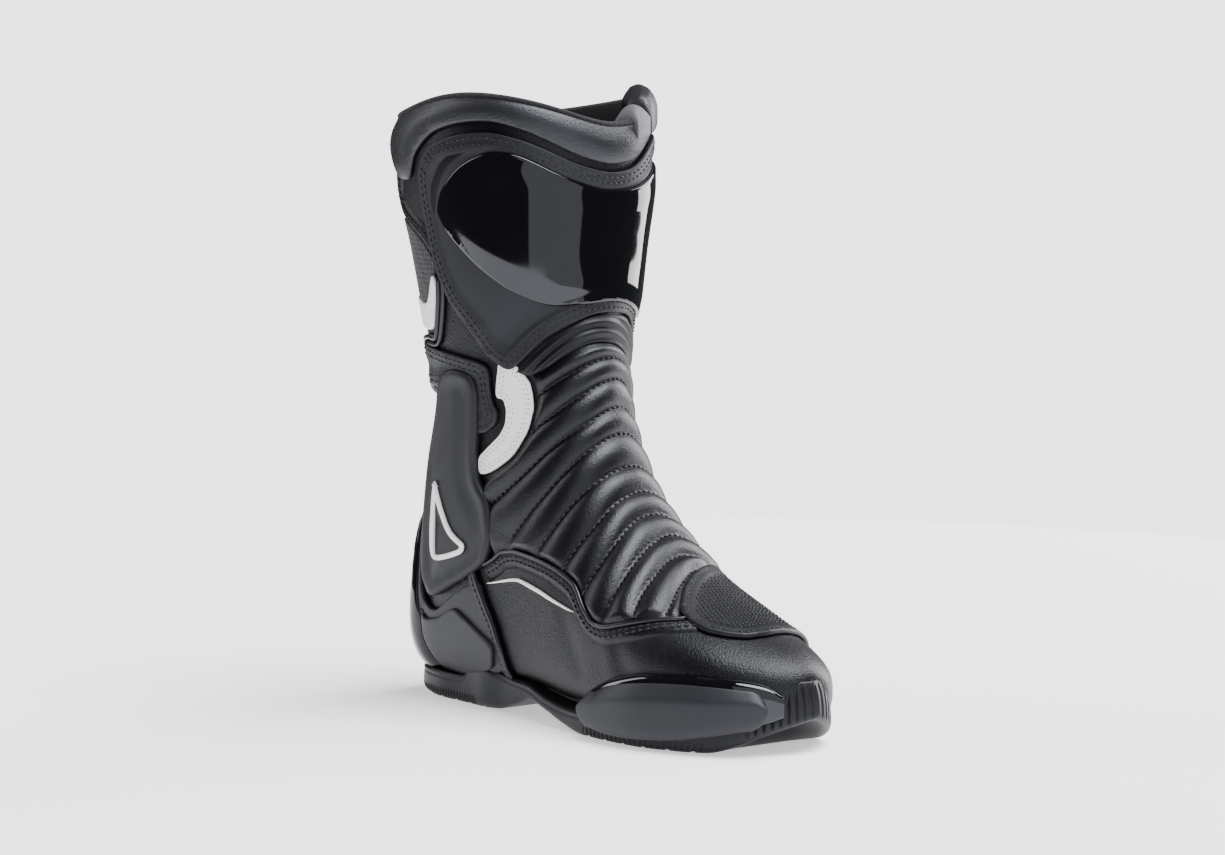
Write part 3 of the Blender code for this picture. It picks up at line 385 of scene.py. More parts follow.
class Last:
    """The form that the upper is drawn over, as its sections give it."""

    def __init__(self) -> None:
        """Turns the shares of the two tables into metres."""
        foot = np.array(FOOT_SECTIONS)
        shaft = np.array(SHAFT_SECTIONS)
        x_columns = [SECTION_NAMES.index(name) for name in ("front_x", "back_x")]
        width_columns = [SECTION_NAMES.index(name) for name in ("lateral", "medial", "sway")]
        front_z = SECTION_NAMES.index("front_z")
        back_z = SECTION_NAMES.index("back_z")
        foot[:, front_z] *= INSTEP_HEIGHT
        foot[:, back_z] *= BED_HEIGHT
        shaft[:, front_z] = INSTEP_HEIGHT + shaft[:, front_z] * (SHAFT_HEIGHT - INSTEP_HEIGHT)
        shaft[:, back_z] = BED_HEIGHT + shaft[:, back_z] * (SHAFT_HEIGHT - BED_HEIGHT)
        foot[:, width_columns] *= BALL_WIDTH
        shaft[:, width_columns] *= CALF_WIDTH
        rows = np.concatenate([foot, shaft])
        rows[:, x_columns] *= FOOT_LENGTH
        self.columns = dict(zip(SECTION_NAMES, rows.T))

    @staticmethod
    def along(values: np.ndarray, station: np.ndarray) -> np.ndarray:
        """A column read between its rows with a smooth curve."""
        last = len(values) - 1
        station = np.clip(station, 0, last)
        row = np.minimum(station.astype(int), last - 1)
        part = station - row
        slope = np.gradient(values)
        return ((1 + 2 * part) * (1 - part) ** 2 * values[row] + part * (1 - part) ** 2 * slope[row]
                + part**2 * (3 - 2 * part) * values[row + 1] + part**2 * (part - 1) * slope[row + 1])

    @staticmethod
    def rim_lift(girth: np.ndarray, station: np.ndarray) -> np.ndarray:
        """How far the collar rises above its plain plane."""
        table = np.array(RIM_SHARES, float)
        spread = np.arange(-16, 17, 4.0)
        weight = np.exp(-0.5 * (spread / 8.0) ** 2)
        wrapped = (girth[..., None] + spread + 180) % 360 - 180
        share = (np.interp(wrapped, table[:, 0], table[:, 1]) * weight).sum(-1) / weight.sum()
        return RIM_RISE * share * smoothstep((station - RIM_START) / (COLLAR - RIM_START))

    def form(self, girth: np.ndarray, station: np.ndarray) -> np.ndarray:
        """Points of the upper's outer form."""
        girth, station = np.broadcast_arrays(np.asarray(girth, float), np.asarray(station, float))
        girth = (girth + 180) % 360 - 180
        row = {name: self.along(values, station) for name, values in self.columns.items()}
        across = row["front_x"] - row["back_x"]
        up = row["front_z"] - row["back_z"]
        depth = np.hypot(across, up)
        middle = row["middle"]
        reach = np.where(np.abs(girth) <= 90, middle, 1 - middle) * depth
        width = np.where(girth >= 0, row["lateral"], row["medial"])
        cosine = np.cos(np.radians(girth))
        sine = np.sin(np.radians(np.abs(girth)))
        power = row["front_power"] + (row["back_power"] - row["front_power"]) * smoothstep((1 - cosine) / 2)
        radius = ((np.abs(cosine) / reach) ** power + (sine / width) ** power) ** (-1 / power)
        x = row["front_x"] - across * middle + radius * cosine * across / depth
        z = row["front_z"] - up * middle + radius * cosine * up / depth + self.rim_lift(girth, station)
        y = row["sway"] - np.sign(girth) * radius * sine
        return np.stack([x, y, z], -1)

    def slopes(self, girth: np.ndarray, station: np.ndarray) -> tuple[np.ndarray, np.ndarray, np.ndarray]:
        """How the form runs at each place.

        Args:
            girth: girths in degrees.
            station: stations.
        Returns:
            Metres for each degree of girth, metres for each station, and the outward normal.
        """
        turn, step = 0.3, 0.01
        girth, station = np.broadcast_arrays(np.asarray(girth, float), np.asarray(station, float))
        high, low = np.minimum(station + step, COLLAR), np.maximum(station - step, 0)
        around = (self.form(girth + turn, station) - self.form(girth - turn, station)) / (2 * turn)
        upwards = (self.form(girth, high) - self.form(girth, low)) / (high - low)[..., None]
        normal = np.cross(upwards, around)
        normal /= np.linalg.norm(normal, axis=-1, keepdims=True) + 1e-12
        return around, upwards, normal

    def skin(self, girth: np.ndarray, station: np.ndarray, offset: np.ndarray | float = 0.0) -> np.ndarray:
        """Points at a distance outside the form, and inside it where the distance is negative."""
        normal = self.slopes(girth, station)[2]
        return self.form(girth, station) + normal * np.asarray(offset, float)[..., None]

    def raised(self, girth: np.ndarray, station: np.ndarray, outwards: np.ndarray | float,
               rise: np.ndarray | float) -> np.ndarray:
        """Points moved outwards from the form and up along its wall."""
        _, upwards, normal = self.slopes(girth, station)
        upwards /= np.linalg.norm(upwards, axis=1, keepdims=True)
        return (self.form(girth, station) + normal * np.asarray(outwards, float)[..., None]
                + upwards * np.asarray(rise, float)[..., None])

    def moved(self, line: np.ndarray, sideways: np.ndarray | float, closed: bool) -> np.ndarray:
        """A line moved sideways over the form, to the left of its run seen from outside.

        Args:
            line: girths and stations.
            sideways: how far in metres, for the whole line or for each point.
            closed: whether the line is a loop.
        Returns:
            The moved line.
        """
        points = self.form(line[:, 0], line[:, 1])
        run = np.roll(points, -1, axis=0) - np.roll(points, 1, axis=0)
        if not closed:
            run[0], run[-1] = points[1] - points[0], points[-1] - points[-2]
        run /= np.linalg.norm(run, axis=1, keepdims=True) + 1e-12
        around, upwards, normal = self.slopes(line[:, 0], line[:, 1])
        aside = np.cross(normal, run) * np.asarray(sideways, float)[..., None]
        gg, gt, tt = (around * around).sum(1), (around * upwards).sum(1), (upwards * upwards).sum(1)
        ag, at = (aside * around).sum(1), (aside * upwards).sum(1)
        det = gg * tt - gt * gt
        return line + np.stack([(ag * tt - at * gt) / det, (at * gg - ag * gt) / det], 1)

    def resampled(self, line: np.ndarray, spacing: float, closed: bool) -> np.ndarray:
        """The line with its points an even distance apart over the form."""
        if closed:
            line = np.concatenate([line, line[:1]])
        runs = [np.linspace(a, b, 8, endpoint=False) for a, b in zip(line, line[1:])]
        fine = np.concatenate([*runs, line[-1:]])
        points = self.form(fine[:, 0], fine[:, 1])
        length = np.concatenate([[0], np.cumsum(np.linalg.norm(np.diff(points, axis=0), axis=1))])
        count = max(4, int(round(length[-1] / spacing)))
        places = np.linspace(0, length[-1], count + 1)
        even = np.stack([np.interp(places, length, fine[:, k]) for k in (0, 1)], 1)
        return even[:-1] if closed else even

    def drawn(self, points: Path, rounds: int, spacing: float, closed: bool) -> np.ndarray:
        """Given points as a softened line of even steps."""
        return self.resampled(cornered(points, rounds, closed), spacing, closed)


LAST = Last()


def distance_to(points: np.ndarray, line: np.ndarray) -> np.ndarray:
    """Each point's distance to a line of straight runs, all in space."""
    best = np.full(len(points), 1.0)
    for a, b in zip(line, line[1:]):
        run = b - a
        share = np.clip(((points - a) @ run) / (run @ run + 1e-18), 0, 1)
        best = np.minimum(best, np.linalg.norm(points - a - share[:, None] * run, axis=1))
    return best


def creased(girth: np.ndarray, station: np.ndarray) -> np.ndarray:
    """The height that the soft creases add at each place."""
    points = LAST.form(girth, station)
    height = np.zeros(len(points))
    for girth_a, station_a, girth_b, station_b, width, depth in CREASES:
        share = np.linspace(0, 1, 9)
        line = LAST.form(girth_a + (girth_b - girth_a) * share, station_a + (station_b - station_a) * share)
        height += depth * MM * np.exp(-(distance_to(points, line) / (width * MM)) ** 2)
    return height


class Slot(Enum):
    """The record's material slots."""

    LEATHER = "leather"
    RUBBER = "rubber"
    FABRIC = "fabric"
    MOULDED = "moulded"
    GLOSS = "gloss"
    LIGHT = "light"


class Signal:
    """A shader socket whose operators add Math nodes."""

    def __init__(self, graph: "Graph", socket: bpy.types.NodeSocket) -> None:
        """Keeps the graph that new nodes go into, and the socket."""
        self.graph = graph
        self.socket = socket

    def _math(self, operation: str, *values: "Signal | float") -> "Signal":
        """One Math node on these values."""
        return self.graph.node("ShaderNodeMath", {"operation": operation}, *values)

    def __add__(self, other: "Signal | float") -> "Signal":
        """The sum."""
        return self._math("ADD", self, other)

    def __mul__(self, other: "Signal | float") -> "Signal":
        """The product."""
        return self._math("MULTIPLY", self, other)

    def power(self, other: float) -> "Signal":
        """This value raised to a power."""
        return self._math("POWER", self, other)

    def above(self, edge: float) -> "Signal":
        """One where the value is over an edge."""
        return self._math("GREATER_THAN", self, edge)


class Graph:
    """The node tree of one material."""

    def __init__(self, name: str) -> None:
        """Starts a material with one Principled shader."""
        self.material = bpy.data.materials.new(name)
        self.material.use_nodes = True
        self.tree = self.material.node_tree
        self.shader = self.tree.nodes["Principled BSDF"]

    def node(self, kind: str, settings: dict, *values: "Signal | float | tuple | None",
             out: int | str = 0, **named: "Signal | float | tuple") -> Signal:
        """Adds one node.

        Args:
            kind: the node's type.
            settings: its own settings, set before its sockets.
            values: what its first sockets hold or are linked to, in order, or None to leave one.
            out: the output that is wanted.
            named: the same for sockets by name, with spaces as underscores.
        Returns:
            The wanted output.
        """
        made = self.tree.nodes.new(kind)
        for key, value in settings.items():
            setattr(made, key, value)
        pairs = [(made.inputs[i], value) for i, value in enumerate(values)]
        pairs += [(made.inputs[key.replace("_", " ")], value) for key, value in named.items()]
        for socket, value in pairs:
            if isinstance(value, Signal):
                self.tree.links.new(value.socket, socket)
            elif value is not None:
                socket.default_value = value
        return Signal(self, made.outputs[out])

    def place(self) -> Signal:
        """The piece's own coordinates."""
        return self.node("ShaderNodeTexCoord", {}, out="Object")

    def noise(self, scale: float, detail: float = 2.0) -> Signal:
        """Noise from zero to one, with its scale in cells for each metre."""
        return self.node("ShaderNodeTexNoise", {}, Vector=self.place(), Scale=scale, Detail=detail)

    def cells(self, scale: float, randomness: float = 1.0, feature: str = "F1") -> Signal:
        """Distance to the nearest of scattered cells."""
        return self.node("ShaderNodeTexVoronoi", {"feature": feature}, Vector=self.place(), Scale=scale,
                         Randomness=randomness, out="Distance")

    def mixed(self, share: Signal, first: tuple, second: tuple) -> Signal:
        """A colour between two."""
        mix = self.tree.nodes.new("ShaderNodeMix")
        mix.data_type = "RGBA"
        self.tree.links.new(share.socket, mix.inputs["Factor"])
        mix.inputs["A"].default_value = (*first, 1.0)
        mix.inputs["B"].default_value = (*second, 1.0)
        return Signal(self, mix.outputs["Result"])

    def set(self, name: str, value: "Signal | float | tuple") -> None:
        """Sets one of the shader's sockets or links it."""
        if isinstance(value, Signal):
            self.tree.links.new(value.socket, self.shader.inputs[name])
        else:
            self.shader.inputs[name].default_value = value

    def bump(self, height: Signal, depth: float, strength: float = 1.0,
             under: Optional[Signal] = None) -> Signal:
        """A Bump node, with the height's full range in metres."""
        named = {"Height": height, "Distance": depth, "Strength": strength}
        if under is not None:
            named["Normal"] = under
        return self.node("ShaderNodeBump", {}, **named)


# Cells for each metre of the finishes' clouds, folds, pores, yarn and twist, the folds' depth, and how
# much the clouds and the specks change the colour and the roughness
CLOUDS = 35.0
FOLDS = 90.0
PORES = 2500.0
YARN = 3000.0
TWIST = 3500.0
FOLD_DEPTH = 0.00025
COLOUR_SHARES = (0.7, 0.3)
ROUGH_SHARES = (0.08, 0.04)


class Pattern(Enum):
    """What a finish has in relief."""

    GRAIN = "grain"
    MOULD = "mould"
    PINHOLES = "pinholes"
    KNIT = "knit"
    FLEECE = "fleece"
    PLAIN = "plain"
    THREAD = "thread"


@dataclass(frozen=True)
class Finish:
    """One finish: its colours, gloss and relief."""

    name: str
    slot: Slot
    colour: tuple[float, float, float]
    worn: tuple[float, float, float]
    roughness: float
    pattern: Pattern
    cell: float = 0.0011
    depth: float = 0.00012
    specular: float = 0.5
    sheen: float = 0.0
    tint: tuple[float, float, float, float] = (0.88, 0.90, 1.0, 1.0)

    def material(self) -> bpy.types.Material:
        """The finish's material, made the first time that it is asked for."""
        found = bpy.data.materials.get(self.name)
        if found:
            return found
        graph = Graph(self.name)
        cloudy = graph.noise(CLOUDS, 3.0)
        speck = graph.noise(1.6 / self.cell)
        share = cloudy * COLOUR_SHARES[0] + speck * COLOUR_SHARES[1]
        graph.set("Base Color", graph.mixed(share, self.colour, self.worn))
        rough = cloudy * ROUGH_SHARES[0] + speck * ROUGH_SHARES[1]
        graph.set("Roughness", rough + (self.roughness - sum(ROUGH_SHARES) / 2))
        graph.set("Specular IOR Level", self.specular)
        graph.set("Specular Tint", self.tint)
        if self.sheen:
            graph.set("Sheen Weight", self.sheen)
            graph.set("Sheen Roughness", 0.5)
        relief = self._relief(graph)
        if relief is not None:
            graph.set("Normal", relief)
        graph.material.diffuse_color = (*self.colour, 1.0)
        return graph.material

    def _relief(self, graph: Graph) -> Optional[Signal]:
        """The relief as a normal, or None for a smooth finish."""
        if self.pattern is Pattern.GRAIN:
            warp = graph.noise(0.35 / self.cell)
            pebbles = graph.cells(1.0 / self.cell, 1.0, "SMOOTH_F1")
            fine = graph.noise(2.6 / self.cell, 3.0)
            grain = graph.bump(pebbles * 0.75 + fine * 0.35 + warp * 0.3, self.depth)
            return graph.bump(graph.noise(FOLDS), FOLD_DEPTH, 0.3, grain)
        if self.pattern is Pattern.MOULD:
            return graph.bump(graph.noise(1.0 / self.cell, 3.0), self.depth)
        if self.pattern is Pattern.PINHOLES:
            holes = graph.cells(1.0 / self.cell, 0.0).above(0.13)
            return graph.bump(holes + graph.noise(PORES) * 0.25, self.depth)
        if self.pattern is Pattern.KNIT:
            cells = graph.cells(1.0 / self.cell, 0.12)
            return graph.bump(cells.power(0.7) + graph.noise(YARN) * 0.2, self.depth)
        if self.pattern is Pattern.FLEECE:
            return graph.bump(graph.noise(1.0 / self.cell, 6.0), self.depth)
        if self.pattern is Pattern.THREAD:
            return graph.bump(graph.noise(TWIST), self.depth)
        return None


GRAINED = Finish("grained_leather", Slot.LEATHER, (0.0017, 0.0017, 0.0023), (0.0032, 0.0032, 0.0042), 0.39,
                 Pattern.GRAIN, 0.0009, 0.00024, specular=0.30)
SMOOTH_LEATHER = Finish("smooth_leather", Slot.LEATHER, (0.0020, 0.0020, 0.0026), (0.0034, 0.0034, 0.0044),
                        0.35, Pattern.GRAIN, 0.0008, 0.00020, specular=0.36)
COLLAR_LEATHER = Finish("collar_leather", Slot.LEATHER, (0.0115, 0.0115, 0.0140), (0.0160, 0.0160, 0.0190),
                        0.40, Pattern.GRAIN, 0.0008, 0.00020, specular=0.50)
STRAP = Finish("grey_strap_leather", Slot.LEATHER, (0.085, 0.085, 0.090), (0.13, 0.13, 0.135), 0.55,
               Pattern.GRAIN, 0.0009, 0.00016)
MATT = Finish("matt_moulding", Slot.MOULDED, (0.0125, 0.0125, 0.0155), (0.0165, 0.0165, 0.0198), 0.48,
              Pattern.MOULD, 0.0004, 0.00002, specular=0.32)
GREY_MATT = Finish("grey_moulding", Slot.MOULDED, (0.0130, 0.0131, 0.0160), (0.0175, 0.0177, 0.0210), 0.48,
                   Pattern.MOULD, 0.0004, 0.00002, specular=0.33)
GLOSS = Finish("gloss_black", Slot.GLOSS, (0.0015, 0.0015, 0.0018), (0.0022, 0.0022, 0.0025), 0.06,
               Pattern.PLAIN, 0.002, 0.0, specular=0.55)
# A near-black finish: painted shade in the frame's crescent and the heel's slots, the dark under the
# pinholes with painted shade in them, and the insert's dark lines
DARK_AND_PAINTED_SHADE = Finish("dark_and_painted_shade", Slot.MOULDED, (0.0010, 0.0010, 0.0012), (0.0016, 0.0016, 0.0018), 0.45,
                Pattern.MOULD, 0.0006, 0.00004, specular=0.2)
WHITE = Finish("white_trim", Slot.LIGHT, (0.92, 0.92, 0.91), (0.95, 0.95, 0.94), 0.50,
               Pattern.PINHOLES, 0.0042, 0.00025)
SILVER = Finish("silver_trim", Slot.LIGHT, (0.42, 0.43, 0.45), (0.50, 0.51, 0.53), 0.38,
                Pattern.MOULD, 0.0005, 0.00002)
KNIT = Finish("open_knit", Slot.FABRIC, (0.0030, 0.0030, 0.0036), (0.020, 0.020, 0.022), 0.75,
              Pattern.KNIT, 0.0025, 0.0012, sheen=0.1)
LINING = Finish("fleece_lining", Slot.FABRIC, (0.0035, 0.0035, 0.0040), (0.0075, 0.0075, 0.0085), 0.9,
                Pattern.FLEECE, 0.0009, 0.0006, sheen=0.08)
RUBBER = Finish("sole_rubber", Slot.RUBBER, (0.0040, 0.0041, 0.0052), (0.0066, 0.0067, 0.0082), 0.44,
                Pattern.MOULD, 0.0006, 0.00004, specular=0.28)
PIPING = Finish("piping_rubber", Slot.RUBBER, (0.0040, 0.0040, 0.0046), (0.007, 0.007, 0.008), 0.33,
                Pattern.MOULD, 0.0006, 0.00003)
THREAD = Finish("black_thread", Slot.FABRIC, (0.0025, 0.0025, 0.0028), (0.010, 0.010, 0.011), 0.50,
                Pattern.THREAD, 0.0006, 0.00015)


def inside_of(loop: np.ndarray) -> float:
    """One where a loop's inside lies to the left of its run seen from outside, and minus one elsewhere."""
    following = np.roll(loop, -1, axis=0)
    return -float(np.sign((loop[:, 0] * following[:, 1] - loop[:, 1] * following[:, 0]).sum()))


def enclosed(points: np.ndarray, loop: np.ndarray) -> np.ndarray:
    """Which of some points lie inside a loop."""
    found = np.zeros(len(points), bool)
    for (x0, y0), (x1, y1) in zip(loop, np.roll(loop, -1, axis=0)):
        spans = (y0 > points[:, 1]) != (y1 > points[:, 1])
        crossing = x0 + (points[:, 1] - y0) * (x1 - x0) / (y1 - y0 if y1 != y0 else 1e-12)
        found ^= spans & (points[:, 0] < crossing)
    return found


def placed(name: str, data: bpy.types.ID) -> bpy.types.Object:
    """A new object in the scene."""
    thing = bpy.data.objects.new(name, data)
    bpy.context.scene.collection.objects.link(thing)
    return thing


def dressed(mesh: bmesh.types.BMesh, name: str, finish: Finish, *nodes: str) -> bpy.types.Object:
    """Makes a finished piece of a mesh.

    Args:
        mesh: the mesh, in place.
        name: the piece's name.
        finish: its finish.
        nodes: the CAD nodes that it stands for.
    Returns:
        The piece, riding on the boot.
    """
    bmesh.ops.recalc_face_normals(mesh, faces=mesh.faces[:])
    for face in mesh.faces:
        face.smooth = True
    data = bpy.data.meshes.new(name)
    mesh.to_mesh(data)
    mesh.free()
    piece = placed(name, data)
    data.materials.append(finish.material())
    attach(piece, "root")
    if nodes:
        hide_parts(*nodes)
    LOG.info("%s: %d faces", name, len(data.polygons))
    return piece


@dataclass
class Panel:
    """A piece cut to an outline and laid over the last, with a rounded edge."""

    name: str
    outline: Path
    base: float
    thickness: float
    finish: Finish
    nodes: tuple[str, ...] = ()
    edge: float = 0.0007
    cell: float = 0.003
    rounds: int = 3
    relief: Optional[Relief] = None
    creases: bool = True

    def build(self) -> bpy.types.Object:
        """Cuts the outline into cells, thickens it, and lays it over the last.

        Returns:
            The piece.
        """
        loop = LAST.drawn(self.outline, self.rounds, 0.6 * self.cell, True)
        inwards = inside_of(loop)
        mesh = bmesh.new()
        top = 1 - min(self.edge / self.thickness, 0.8)
        face = mesh.faces.new([mesh.verts.new((girth, station, top)) for girth, station in loop])
        for share, height in ((0.3, top + (1 - top) * 0.7), (1.0, 1.0)):
            bmesh.ops.inset_individual(mesh, faces=[face], thickness=0.0, depth=0.0)
            ring = LAST.moved(loop, inwards * share * self.edge, True)
            for vert, place in zip(self._in_order(face, loop), ring):
                vert.co = (*place, height)
        self._split(mesh, face, loop)
        raised = bmesh.ops.extrude_face_region(mesh, geom=mesh.faces[:], use_keep_orig=True)
        lifted = {item for item in raised["geom"] if isinstance(item, bmesh.types.BMVert)}
        for vert in mesh.verts:
            if vert not in lifted:
                vert.co.z = 0
        self._lay(mesh, loop)
        return dressed(mesh, self.name, self.finish, *self.nodes)

    @staticmethod
    def _in_order(face: bmesh.types.BMFace, loop: np.ndarray) -> list[bmesh.types.BMVert]:
        """The face's corners from the one nearest the loop's first point, in the loop's own order."""
        verts = list(face.verts)
        places = np.array([vert.co for vert in verts])[:, :2]
        span = np.ptp(loop, axis=0) + 1e-9
        first = int((np.abs((places - loop[0]) / span).sum(1)).argmin())
        verts = verts[first:] + verts[:first]
        ahead = np.abs((np.array(verts[1].co)[:2] - loop[1]) / span).sum()
        behind = np.abs((np.array(verts[-1].co)[:2] - loop[1]) / span).sum()
        return verts if ahead <= behind else [verts[0], *reversed(verts[1:])]

    def _split(self, mesh: bmesh.types.BMesh, face: bmesh.types.BMFace, loop: np.ndarray) -> None:
        """Cuts the middle of the panel into cells of about the wanted size."""
        around, upwards, _ = LAST.slopes(loop[:, 0], loop[:, 1])
        steps = [self.cell / np.linalg.norm(slope, axis=1).mean() for slope in (around, upwards)]
        done = [face]
        for axis, step in enumerate(steps):
            direction = Vector((1 - axis, axis, 0))
            ahead, done = done, []
            for value in np.arange(math.ceil(loop[:, axis].min() / step) * step, loop[:, axis].max(), step):
                borders = dict.fromkeys(item for part in ahead for item in (*part.verts, *part.edges))
                cut = bmesh.ops.bisect_plane(mesh, geom=[*ahead, *borders], plane_co=direction * value,
                                             plane_no=direction, dist=1e-5)
                made = [item for item in cut["geom"] if isinstance(item, bmesh.types.BMFace)]
                parts = dict.fromkeys(part for part in [*ahead, *made] if part.is_valid)
                ahead = [part for part in parts if part.calc_center_median()[axis] > value]
                done += [part for part in parts if part.calc_center_median()[axis] <= value]
            done += ahead

    def _lay(self, mesh: bmesh.types.BMesh, loop: np.ndarray) -> None:
        """Lays the flat panel over the last."""
        places = np.array([vert.co for vert in mesh.verts])
        girth, station, share = places.T
        points = LAST.form(girth, station)
        border = LAST.form(*np.concatenate([loop, loop[:1]]).T)
        height = share * self.thickness
        if self.relief:
            height = height + share * self.relief(girth, station, distance_to(points, border))
        if self.creases:
            height = height + creased(girth, station)
        for vert, point in zip(mesh.verts, LAST.skin(girth, station, self.base + height)):
            vert.co = point


@dataclass
class Sweep:
    """A strip, piping or band: a closed profile drawn along a line over the last."""

    name: str
    line: Path
    profile: Sequence[tuple[float, float]]
    finish: Finish
    closed: bool = False
    rounds: int = 3
    spacing: float = 0.002
    creases: bool = True
    nodes: tuple[str, ...] = ()
    taper: float = 0.0

    def build(self) -> bpy.types.Object:
        """Draws the profile, in metres sideways and outwards, along the line.

        Returns:
            The piece.
        """
        run = LAST.drawn(self.line, self.rounds, self.spacing, self.closed)
        width = 1 - self.taper * np.abs(np.linspace(-1, 1, len(run))) ** 1.5
        rings = []
        for sideways, outwards in self.profile:
            moved = LAST.moved(run, sideways * width, self.closed)
            moved = np.concatenate([moved, moved[:1]]) if self.closed else moved
            height = outwards + (creased(moved[:, 0], moved[:, 1]) if self.creases else 0)
            rings.append(LAST.skin(moved[:, 0], moved[:, 1], height))
        rings.append(rings[0])
        return dressed(grid_mesh(np.array(rings)), self.name, self.finish, *self.nodes)


def grid_mesh(points: np.ndarray) -> bmesh.types.BMesh:
    """A grid laid through points, joined where its edges meet and with its open ends closed.

    Args:
        points: rows of points, an array of three axes.
    Returns:
        The mesh.
    """
    rows, columns = points.shape[:2]
    mesh = bmesh.new()
    bmesh.ops.create_grid(mesh, x_segments=columns - 1, y_segments=rows - 1, size=0.5)
    for vert in mesh.verts:
        column = int(round((vert.co.x + 0.5) * (columns - 1)))
        row = int(round((vert.co.y + 0.5) * (rows - 1)))
        vert.co = points[row, column]
    bmesh.ops.remove_doubles(mesh, verts=mesh.verts[:], dist=2e-6)
    open_edges = [edge for edge in mesh.edges if edge.is_boundary]
    bmesh.ops.holes_fill(mesh, edges=open_edges, sides=0)
    return mesh


def round_profile(radius: float, lift: float, count: int = 10) -> list[tuple[float, float]]:
    """A circle as a sweep's profile, with its middle at a height."""
    angles = [2 * math.pi * i / count for i in range(count)]
    return [(radius * math.cos(a), lift + radius * math.sin(a)) for a in angles]


def flat_profile(low: float, high: float, base: float, height: float) -> list[tuple[float, float]]:
    """A flat strip with soft edges, between two distances sideways."""
    soft, top = 0.3 * height, base + height
    return [(low, base), (low, top - soft), (low + 0.4 * soft, top - 0.3 * soft), (low + soft, top),
            (high - soft, top), (high - 0.4 * soft, top - 0.3 * soft), (high, top - soft), (high, base)]


def lapped_profile(width: float, height: float, side: float = 1.0) -> list[tuple[float, float]]:
    """A lapped edge as a profile: full height with a round edge on one side, and fading on the other."""
    shares = ((0.0, -0.5), (0.0, 0.45), (0.04, 0.85), (0.10, 1.0), (0.35, 0.97), (0.65, 0.65), (1.0, 0.0),
              (1.0, -0.5))
    return [(side * width * across, height * up) for across, up in shares]


# Shares of the pitch between which two points of a seam are joined by a stitch
NEAREST = 0.3
FARTHEST = 1.8


@dataclass
class Seam:
    """Rows of stitches along a line over the last, a loop's rows measured inwards."""

    line: Path
    offsets: tuple[float, ...]
    height: float
    closed: bool = False
    rounds: int = 3
    pitch: float = 0.0034
    length: float = 0.0025
    thread: float = 0.00048
    creases: bool = True
    region: Optional[Path] = None

    def add_to(self, mesh: bmesh.types.BMesh) -> None:
        """Adds the seam's stitches to a mesh."""
        base = LAST.drawn(self.line, self.rounds, 0.002, self.closed)
        inwards = inside_of(base) if self.closed else 1.0
        for sideways in self.offsets:
            line = LAST.moved(base, inwards * sideways, self.closed)
            line = LAST.resampled(line, self.pitch, self.closed)
            if self.region:
                line = line[enclosed(line, cornered(self.region, 2, True))]
            height = np.full(len(line), self.height)
            if self.creases:
                height = height + creased(line[:, 0], line[:, 1])
            points = LAST.skin(line[:, 0], line[:, 1], height)
            normals = LAST.slopes(line[:, 0], line[:, 1])[2]
            self._stitch(mesh, points, normals)

    def _stitch(self, mesh: bmesh.types.BMesh, points: np.ndarray, normals: np.ndarray) -> None:
        """Sets one small round-ended stitch between each pair of points."""
        for a, b, normal in zip(points, points[1:], normals):
            run = Vector(b - a)
            if not NEAREST < run.length / self.pitch < FARTHEST:
                continue
            run.normalize()
            up = Vector(normal)
            side = up.cross(run).normalized()
            up = run.cross(side)
            turn = Matrix((run, side, up)).transposed().to_4x4()
            size = Matrix.Diagonal((self.length / 2, self.thread, self.thread, 1))
            place = Matrix.Translation(Vector((a + b) / 2))
            bmesh.ops.create_icosphere(mesh, subdivisions=1, radius=1.0, matrix=place @ turn @ size)


def stitched(name: str, seams: Sequence[Seam], finish: Finish = THREAD) -> bpy.types.Object:
    """All the stitches of several seams as one piece."""
    mesh = bmesh.new()
    for seam in seams:
        seam.add_to(mesh)
    return dressed(mesh, name, finish)


@dataclass
class Shell:
    """The leather body of the boot, open at the collar, and its lining."""

    wall: float = 0.0014
    lining: float = 0.0030
    pile: float = 0.0012
    backing: float = 0.0008
    roll: float = 0.0021
    margin: float = 0.0006
    tuck: float = 0.10
    lowest: float = 2.0
    columns: int = 180
    spacing: float = 0.085
    inner_spacing: float = 0.5
    lining_spacing: float = 0.15

    def build(self) -> None:
        """Builds the leather, and the lining that rolls over the collar."""
        rows = [(station, 0.0, 0.0) for station in np.arange(0, COLLAR + 1e-9, self.spacing)]
        rows += [(COLLAR, -0.5 * self.wall, GAP)]
        rows += [(station, -self.wall, 0.0) for station in np.arange(COLLAR - 0.1, 0, -self.inner_spacing)]
        dressed(grid_mesh(self._rings(rows)), "leather_shell", GRAINED, "upper")
        outside = PANEL + GAP
        middle = 0.5 * (outside - self.lining)
        half = 0.5 * (outside + self.lining) + self.margin
        turns = np.radians(np.arange(-20, 181, 20))
        rows = [(COLLAR - self.tuck, PANEL, 0.0)]
        rows += [(COLLAR, middle + half * math.cos(a), self.roll * math.sin(a)) for a in turns]
        rows += [(station, -self.lining - self.pile, 0.0)
                 for station in np.arange(COLLAR - self.lining_spacing, self.lowest, -self.lining_spacing)]
        rows += [(station, -self.lining + self.backing, 0.0)
                 for station in np.arange(self.lowest, COLLAR - 0.4, self.inner_spacing)]
        rows += [(COLLAR - self.tuck, -GAP, 0.0), rows[0]]
        dressed(grid_mesh(self._rings(rows)), "fleece_lining", LINING)

    def _rings(self, rows: Sequence[tuple[float, float, float]]) -> np.ndarray:
        """Rings at stations, each with a distance outwards and a rise along the wall."""
        girth = np.linspace(-180, 180, self.columns + 1)
        rings = []
        for station, outwards, rise in rows:
            places = np.full_like(girth, station)
            height = creased(girth, places) if outwards == 0 else outwards
            rings.append(LAST.raised(girth, places, height, rise))
        return np.array(rings)


